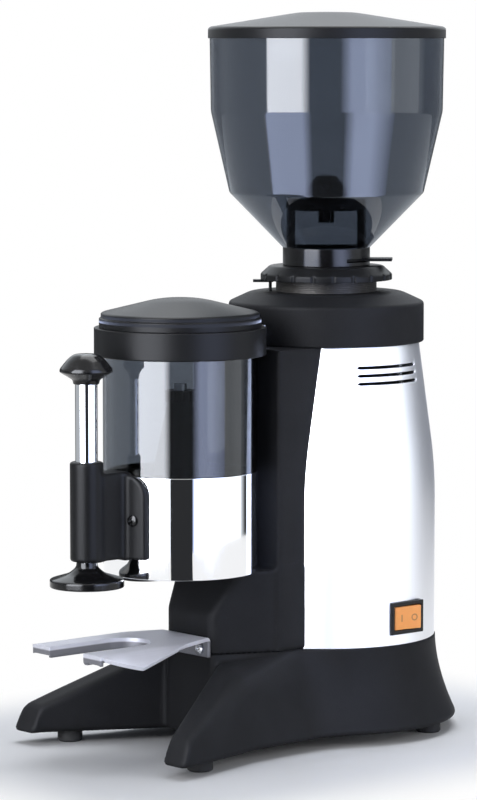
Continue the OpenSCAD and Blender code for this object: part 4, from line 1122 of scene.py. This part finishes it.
class GRINDER_OT_fork(bpy.types.Operator):
    """Sheet-metal fork that the portafilter rests on"""

    bl_idname = "grinder.fork"
    bl_label = "Fork"

    def execute(self, context):
        bend = context.scene.grinder_sizes.fork_bend / MM
        plate, heel, slope = 3.0, 3.0, math.radians(20.0)
        fold, neck, half = 40.0, 26.5, 21.0 + plate / 2
        rear, tip, top = BURR[1] - FORK_HIGH[1] + plate / 2, BURR[1] - FORK_LOW[1], FORK_HIGH[2] - plate / 2
        slot_end, flat_back, wing_back = 192.0 - plate / 2, 185.0, 243.0
        curve, curve_x, curve_s = 80.0, -45.3, tip - 65.9
        rim = np.array([7.5, 5.5, 2.75])

        turn = np.linspace(0, np.pi / 2, 24)
        front = np.unique(np.concatenate([
            np.linspace(rear + heel, slot_end, 24), slot_end + half * (1 - np.cos(turn)),
            np.linspace(slot_end + half, wing_back, 12), np.linspace(wing_back, tip - plate / 2, 28)]))
        flange = np.linspace(FORK_LOW[2], top - heel, 6, endpoint=False)
        path = np.vstack([
            np.column_stack([np.full(len(flange), rear), flange]),
            np.column_stack([rear + heel * (1 - np.cos(turn[::3])), top - heel * (1 - np.sin(turn[::3]))]),
            np.column_stack([front, np.full(len(front), top)])])
        s, z = path[:, :1], path[:, 1:]
        depth = np.clip(s - slot_end, 0, half)
        inner = np.sqrt(np.clip(half ** 2 - (half - depth) ** 2, 0, None))
        nose = curve_x + np.sqrt(np.clip(curve ** 2 - (s - curve_s) ** 2, 0, None))
        spread = np.interp(s, [flat_back - 1, wing_back, wing_back + 2, tip], [0.0, 23.4, 24.0, 24.0])
        outer = np.interp(s, [rear, flat_back], [neck, fold]) + np.minimum(spread, nose)
        u = inner + (outer - inner) * np.linspace(0, 1, 40)[None, :]
        over = np.clip((u - fold + bend) / (2 * bend), 0, 1) * slope
        past = np.clip(u - fold - bend, 0, None)
        arm = 2 * bend / slope
        x = np.minimum(u, fold - bend) + arm * np.sin(over) + past * np.cos(slope)
        fall = arm * (1 - np.cos(over)) + past * np.sin(slope)
        sheet = np.stack([x, np.broadcast_to(BURR[1] - s, x.shape), z - fall], axis=-1)

        down = rim[:, None] * [0.0, 0.0, 1.0]
        right = np.concatenate([sheet, sheet[-1:] - down[:0:-1, None]])
        right = np.concatenate([right[:, :1] - down, right], axis=1)
        keep = np.ones((right.shape[0] - 1, right.shape[1] - 1), bool)
        keep[:(path[:, 0] < slot_end - 1e-6).sum(), :len(rim)] = False
        keep[len(sheet) - 1:, :len(rim)] = False
        both = np.concatenate([(right * [-1, 1, 1])[:, ::-1], right], axis=1)
        keep = np.hstack([keep[:, ::-1], np.zeros((len(keep), 1), bool), keep])
        shell = skin(both, keep=keep)
        made = piece("fork", [shell], finish_for("stainless"), "body", ["portafilter_fork"], sharp=50)
        thicken(made, plate * MM, 0.0004, offset=0.0, angle=55.0)
        return {"FINISHED"}


class GRINDER_OT_fastenings(bpy.types.Operator):
    """Screw heads, springs and the knob of the dosing lever"""

    bl_idname = "grinder.fastenings"
    bl_label = "Screws, springs and lever knob"

    def execute(self, context):
        steel = finish_for("bright_steel")
        low, high = span("bracket_screws")
        level, saddle, r, rise = (low + high)[2] / 2, 5.05, 4.4, 2.6
        shells = []
        for angle in (-16.0, 16.0):
            out = np.array([math.sin(math.radians(angle)), -math.cos(math.radians(angle)), 0.0])
            seat = np.array([*DOSER, level]) + out * (DRUM_R + saddle)
            shells.append(screw_head(seat, out, [0, 0, 1], r, rise))
        piece("bracket_screw_heads", shells, finish_for("gloss_black"), "body", ["bracket_screws"])

        low, high = span("fork_screws")
        level = (low + high)[2] / 2
        r, rise = 4.2, 2.4
        shells = [screw_head([x, low[1] + rise, level], [0, -1, 0], [0, 0, 1], r, rise)
                  for x in (low[0] + r, high[0] - r)]
        piece("fork_screw_heads", shells, steel, "body", ["fork_screws"])

        under = (("plate_screw_heads", "base_plate_screws", FOOT_H, 3.2, 1.8),
                 ("foot_screw_heads", "feet_screws", 5.0, 4.4, 2.4))
        for name, node, seat, r, rise in under:
            shells = [screw_head([x, y, seat], [0, 0, -1], [0, 1, 0], r, rise)
                      for x, y in four_places(node, r)]
            piece(name, shells, steel, "body", [node])

        low, high = span("tamper_spring")
        wound = coil(PRESS, radius("tamper_spring") - 0.7, wire=0.55, low=low[2], high=high[2], turns=9)
        made = piece("press_spring", [wound], steel, "body", ["tamper_spring"])
        PRESS[0] * MM
        PRESS[1] * MM
        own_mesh(made)
        low, high = heights("lever_spring")
        wound = coil(DOSER, radius("lever_spring") - 1.0, wire=0.6, low=low, high=high, turns=3)
        piece("return_spring", [wound], steel, "body", ["lever_spring"])

        low, high = heights("lever_knob")
        outline = rounded(
            [[0, low], [5.5, low], [6.0, low + 3.6], [8.8, low + 8.0], [9.0, low + 13.5], [6.4, high - 1.6],
             [0, high]],
            [0, 0.6, 2.0, 2.6, 3.0, 3.0, 0], steps=8)
        turned_piece("lever_grip", outline, middle("lever_knob"), "gloss_black", "lever", "lever_knob", 96)
        return {"FINISHED"}


class GRINDER_OT_finishes(bpy.types.Operator):
    """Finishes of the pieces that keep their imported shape"""

    bl_idname = "grinder.finishes"
    bl_label = "Finish the other pieces"

    def execute(self, context):
        eased = {"switch_housing": 0.0009, "switch_rocker": 0.0007, "collar_lock": 0.0004,
                 "hopper_gate": 0.0004, "dose_lever": 0.0006}
        for name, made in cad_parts.items():
            if made.hide_render:
                continue
            slot = made.data.materials[0].name.split(".")[0]
            made.data.materials[0] = finish_for(slot).material
            if name in eased:
                merge = made.modifiers.new("merge", "WELD")
                merge.merge_threshold = 0.00002
                flat = made.modifiers.new("flat", "DECIMATE")
                flat.decimate_type, flat.angle_limit = "DISSOLVE", math.radians(0.4)
                ease_edges(made, eased[name], 3, 35.0)
                level = made.modifiers.new("normals", "WEIGHTED_NORMAL")
                level.keep_sharp = False
        return {"FINISHED"}


# Stage

WHITE, COOL, BLUE = (0.9, 0.93, 1.0), (0.9, 0.95, 1.0), (0.6, 0.69, 1.0)
DARK, DARK_KNEES = (0.03, 0.03, 0.03), (0.3, 0.7)

# Lower and upper edges of the cards in metres, as distance from the middle and height
TALL, LOW = ((1.25, 0.0), (1.25, 1.7)), ((1.25, 0.0), (1.25, 0.65))
EDGE, BACK = ((1.25, 0.0), (1.25, 0.58)), ((1.25, 0.6), (1.25, 2.2))
SHELF, GROUND = ((0.1, 0.34), (0.85, 0.34)), ((0.28, 0.003), (1.25, 0.003))

# Cards: name, degrees from and to, edges, levels at start, middle and end, where the middle runs, tint
CARDS = (
    ("key_card", -62, -15, TALL, (0.6, 16.5, 0.1), (0.05, 0.80), WHITE),
    ("key_shelf", -62, -15, SHELF, (0.5, 7.0, 0.1), (0.05, 0.80), BLUE),
    ("fill_card", 15, 66, TALL, (0.1, 7.0, 2.8), (0.22, 0.55), BLUE),
    ("fill_shelf", 15, 66, SHELF, (0.1, 7.5, 1.2), (0.22, 0.55), BLUE),
    ("dark_card", -15, 15, LOW, DARK, DARK_KNEES, WHITE),
    ("dark_shelf", -15, 15, SHELF, DARK, DARK_KNEES, WHITE),
    ("dark_ground", -15, 15, GROUND, DARK, DARK_KNEES, WHITE),
    ("left_card", -120, -62, LOW, (0.5, 0.5, 0.6), (0.3, 0.7), COOL),
    ("right_card", 66, 100, LOW, (1.8, 1.6, 1.4), (0.3, 0.7), COOL),
    ("side_shelf", 66, 297, SHELF, (0.5, 0.5, 0.5), (0.3, 0.7), COOL),
    ("edge_card", 100, 178, EDGE, (0.8, 0.05, 0.05), (0.12, 0.7), COOL),
    ("far_card", -178, -120, EDGE, (0.1, 0.12, 0.5), (0.3, 0.7), COOL),
    ("back_card", 106, 250, BACK, (1.4, 1.7, 1.3), (0.2, 0.7), COOL),
)

# Lamps: name, degrees, distance, height and size in metres, setting of its power, tint
LAMPS = (
    ("key_lamp", -40, 1.5, 0.9, 0.9, "key", (1.0, 0.99, 0.97)),
    ("fill_lamp", 55, 1.6, 0.5, 0.9, "fill", (1.0, 0.99, 0.97)),
    ("top_lamp", 165, 0.45, 1.55, 1.2, "top", (0.97, 0.985, 1.0)),
)


class GRINDER_OT_stage(bpy.types.Operator):
    """Floor, light and camera"""

    bl_idname = "grinder.stage"
    bl_label = "Stage"

    def execute(self, context):
        scene, stage = context.scene, context.scene.grinder_stage
        scene.view_settings.view_transform = "Standard"
        camera = bpy.data.objects.new("camera", bpy.data.cameras.new("camera"))
        camera.data.lens, camera.data.sensor_width = stage.lens, 36.0
        camera.data.clip_end = 50.0
        camera.location = stage.place
        camera.rotation_euler = (math.pi / 2 - stage.pitch, 0, stage.turn)
        scene.collection.objects.link(camera)
        scene.camera = camera

        half = 6.0
        floor = self.plate("floor", half * np.array([[-1, -1, 0], [1, -1, 0], [1, 1, 0], [-1, 1, 0]]),
                           np.arange(4)[None])
        floor.data.materials.append(self.floor_finish(scene.grinder_colours))
        scene.world = self.world(stage)
        facing = stage.turn - math.pi / 2
        for row in CARDS:
            self.card(facing, *row)
        for row in LAMPS:
            self.lamp(stage, facing, *row)
        return {"FINISHED"}

    def plate(self, name, points, cells):
        """A stage sheet from points in metres."""
        mesh = bpy.data.meshes.new(name)
        mesh.from_pydata(points.tolist(), [], cells.tolist())
        made = bpy.data.objects.new(name, mesh)
        bpy.context.scene.collection.objects.link(made)
        return made

    def card(self, facing, name, start, end, edges, levels, knees, tint):
        """A sheet on an arc round the grinder, or round the burrs if it is a shelf, which shows in
        reflections alone. Its light changes along the arc: level = straight lines between the levels."""
        columns, slack = 49, 30
        angle = facing + np.radians(np.linspace(start, end, columns))
        centre = BURR[1] * MM if edges is SHELF else 0.0
        rows = [np.stack([away * np.cos(angle), centre + away * np.sin(angle), 0 * angle + z], -1)
                for away, z in edges]
        points, cells = skin(np.stack(rows))
        a, b, c, d = points[cells[0]]
        inward = np.array([-a[0], -a[1], 1.0])
        if np.cross(c - a, d - b) @ inward <= 0:
            cells = cells[:, ::-1]
        made = self.plate(name, points, cells)
        turn = np.degrees(np.arctan2(points[:, 1] - centre, points[:, 0]) - facing)
        part = ((turn - start + slack) % 360 - slack) / (end - start)
        level = np.interp(part, [0, *knees, 1], [levels[0], levels[1], levels[1], levels[2]])
        values = made.data.attributes.new("level", "FLOAT", "POINT").data
        values.foreach_set("value", level.astype(np.float32))
        made.data.materials.append(self.glow(name, tint))
        made.visible_camera = made.visible_diffuse = made.visible_shadow = False
        made.visible_transmission = made.visible_volume_scatter = False

    def lamp(self, stage, facing, name, angle, away, height, size, power, tint):
        """A square lamp that points at the middle of the grinder."""
        data = bpy.data.lights.new(name, "AREA")
        data.energy, data.size, data.color = getattr(stage, power), size, tint
        made = bpy.data.objects.new(name, data)
        way = facing + math.radians(angle)
        made.location = (away * math.cos(way), away * math.sin(way), height)
        aim = np.array([0.0, 0.0, 0.25]) - np.array(made.location)
        made.rotation_euler = (math.atan2(math.hypot(aim[0], aim[1]), -aim[2]), 0,
                               math.atan2(aim[1], aim[0]) - math.pi / 2)
        bpy.context.scene.collection.objects.link(made)

    def glow(self, name, tint):
        """Light from the front of a card at the level of its points, while its back is clear."""
        f = Finish(name, "card")
        level = f.node("ShaderNodeAttribute", {"attribute_name": "level"}, output="Fac")
        front = f.node("ShaderNodeEmission", {}, {"Color": rgba(tint), "Strength": level})
        clear = f.node("ShaderNodeBsdfTransparent")
        behind = f.node("ShaderNodeNewGeometry", output="Backfacing")
        return f.show(f.mix(behind, front, clear))

    def floor_finish(self, colours):
        """Matt white near the grinder, so that its shadow shows, running out to plain white."""
        f = Finish("floor_finish", "floor")
        x, y, _ = f.axes()
        beside, before = f.math("MAXIMUM", abs(x) - 0.09, 0.0), f.math("MAXIMUM", abs(y) - 0.15, 0.0)
        away = (beside ** 2.0 + before ** 2.0) ** 0.5
        f.set(Base_Color=f.tones(f.noise(0.004), colours.floor, 0.99, 1.0), Roughness=0.9,
              Specular_IOR_Level=0.0)
        white = f.node("ShaderNodeEmission", {}, {"Color": (1.0, 1.0, 1.0, 1.0), "Strength": 1.0})
        matt = Value(f, f.shader.outputs[0])
        return f.show(f.mix(away.step(0.07, 0.20) * f.seen(), matt, white))

    def world(self, stage):
        """White for what the camera, metal and glass see, and an even room light for matt surfaces."""
        made = bpy.data.worlds.new("studio")
        made.use_nodes = True
        w = Nodes(made.node_tree)
        room = w.node("ShaderNodeBackground", {}, {0: (0.86, 0.91, 1.0, 1.0), 1: stage.room})
        white = w.node("ShaderNodeBackground", {}, {0: (1.0, 1.0, 1.0, 1.0), 1: 1.0})
        w.add("ShaderNodeOutputWorld", {}, {0: w.mix(w.seen(), room, white)})
        return made


PIECES = (
    GRINDER_OT_base, GRINDER_OT_column, GRINDER_OT_cover, GRINDER_OT_head, GRINDER_OT_hopper,
    GRINDER_OT_doser, GRINDER_OT_press, GRINDER_OT_fork, GRINDER_OT_fastenings, GRINDER_OT_finishes,
    GRINDER_OT_stage)
SETTINGS = (
    ("grinder_sizes", GrinderSizes), ("grinder_colours", GrinderColours), ("grinder_stage", GrinderStage))


class GRINDER_PT_sidebar(bpy.types.Panel):
    """Lists the settings and the pieces"""

    bl_idname = "GRINDER_PT_sidebar"
    bl_label = "Coffee grinder"
    bl_space_type = "VIEW_3D"
    bl_region_type = "UI"
    bl_category = "Grinder"

    def draw(self, context):
        for name, group in SETTINGS:
            box = self.layout.box()
            for key in group.__annotations__:
                box.prop(getattr(context.scene, name), key)
        for operator in PIECES:
            self.layout.operator(operator.bl_idname)


def register():
    for name, group in SETTINGS:
        bpy.utils.register_class(group)
        setattr(bpy.types.Scene, name, bpy.props.PointerProperty(type=group))
    for made in PIECES + (GRINDER_PT_sidebar,):
        bpy.utils.register_class(made)


def unregister():
    for made in (GRINDER_PT_sidebar,) + PIECES[::-1]:
        bpy.utils.unregister_class(made)
    for name, group in SETTINGS[::-1]:
        delattr(bpy.types.Scene, name)
        bpy.utils.unregister_class(group)


def main():
    """Registers the add-on and builds every piece in order."""
    register()
    for operator in PIECES:
        group, name = operator.bl_idname.split(".")
        getattr(getattr(bpy.ops, group), name)()


if __name__ == "__main__":
    main()
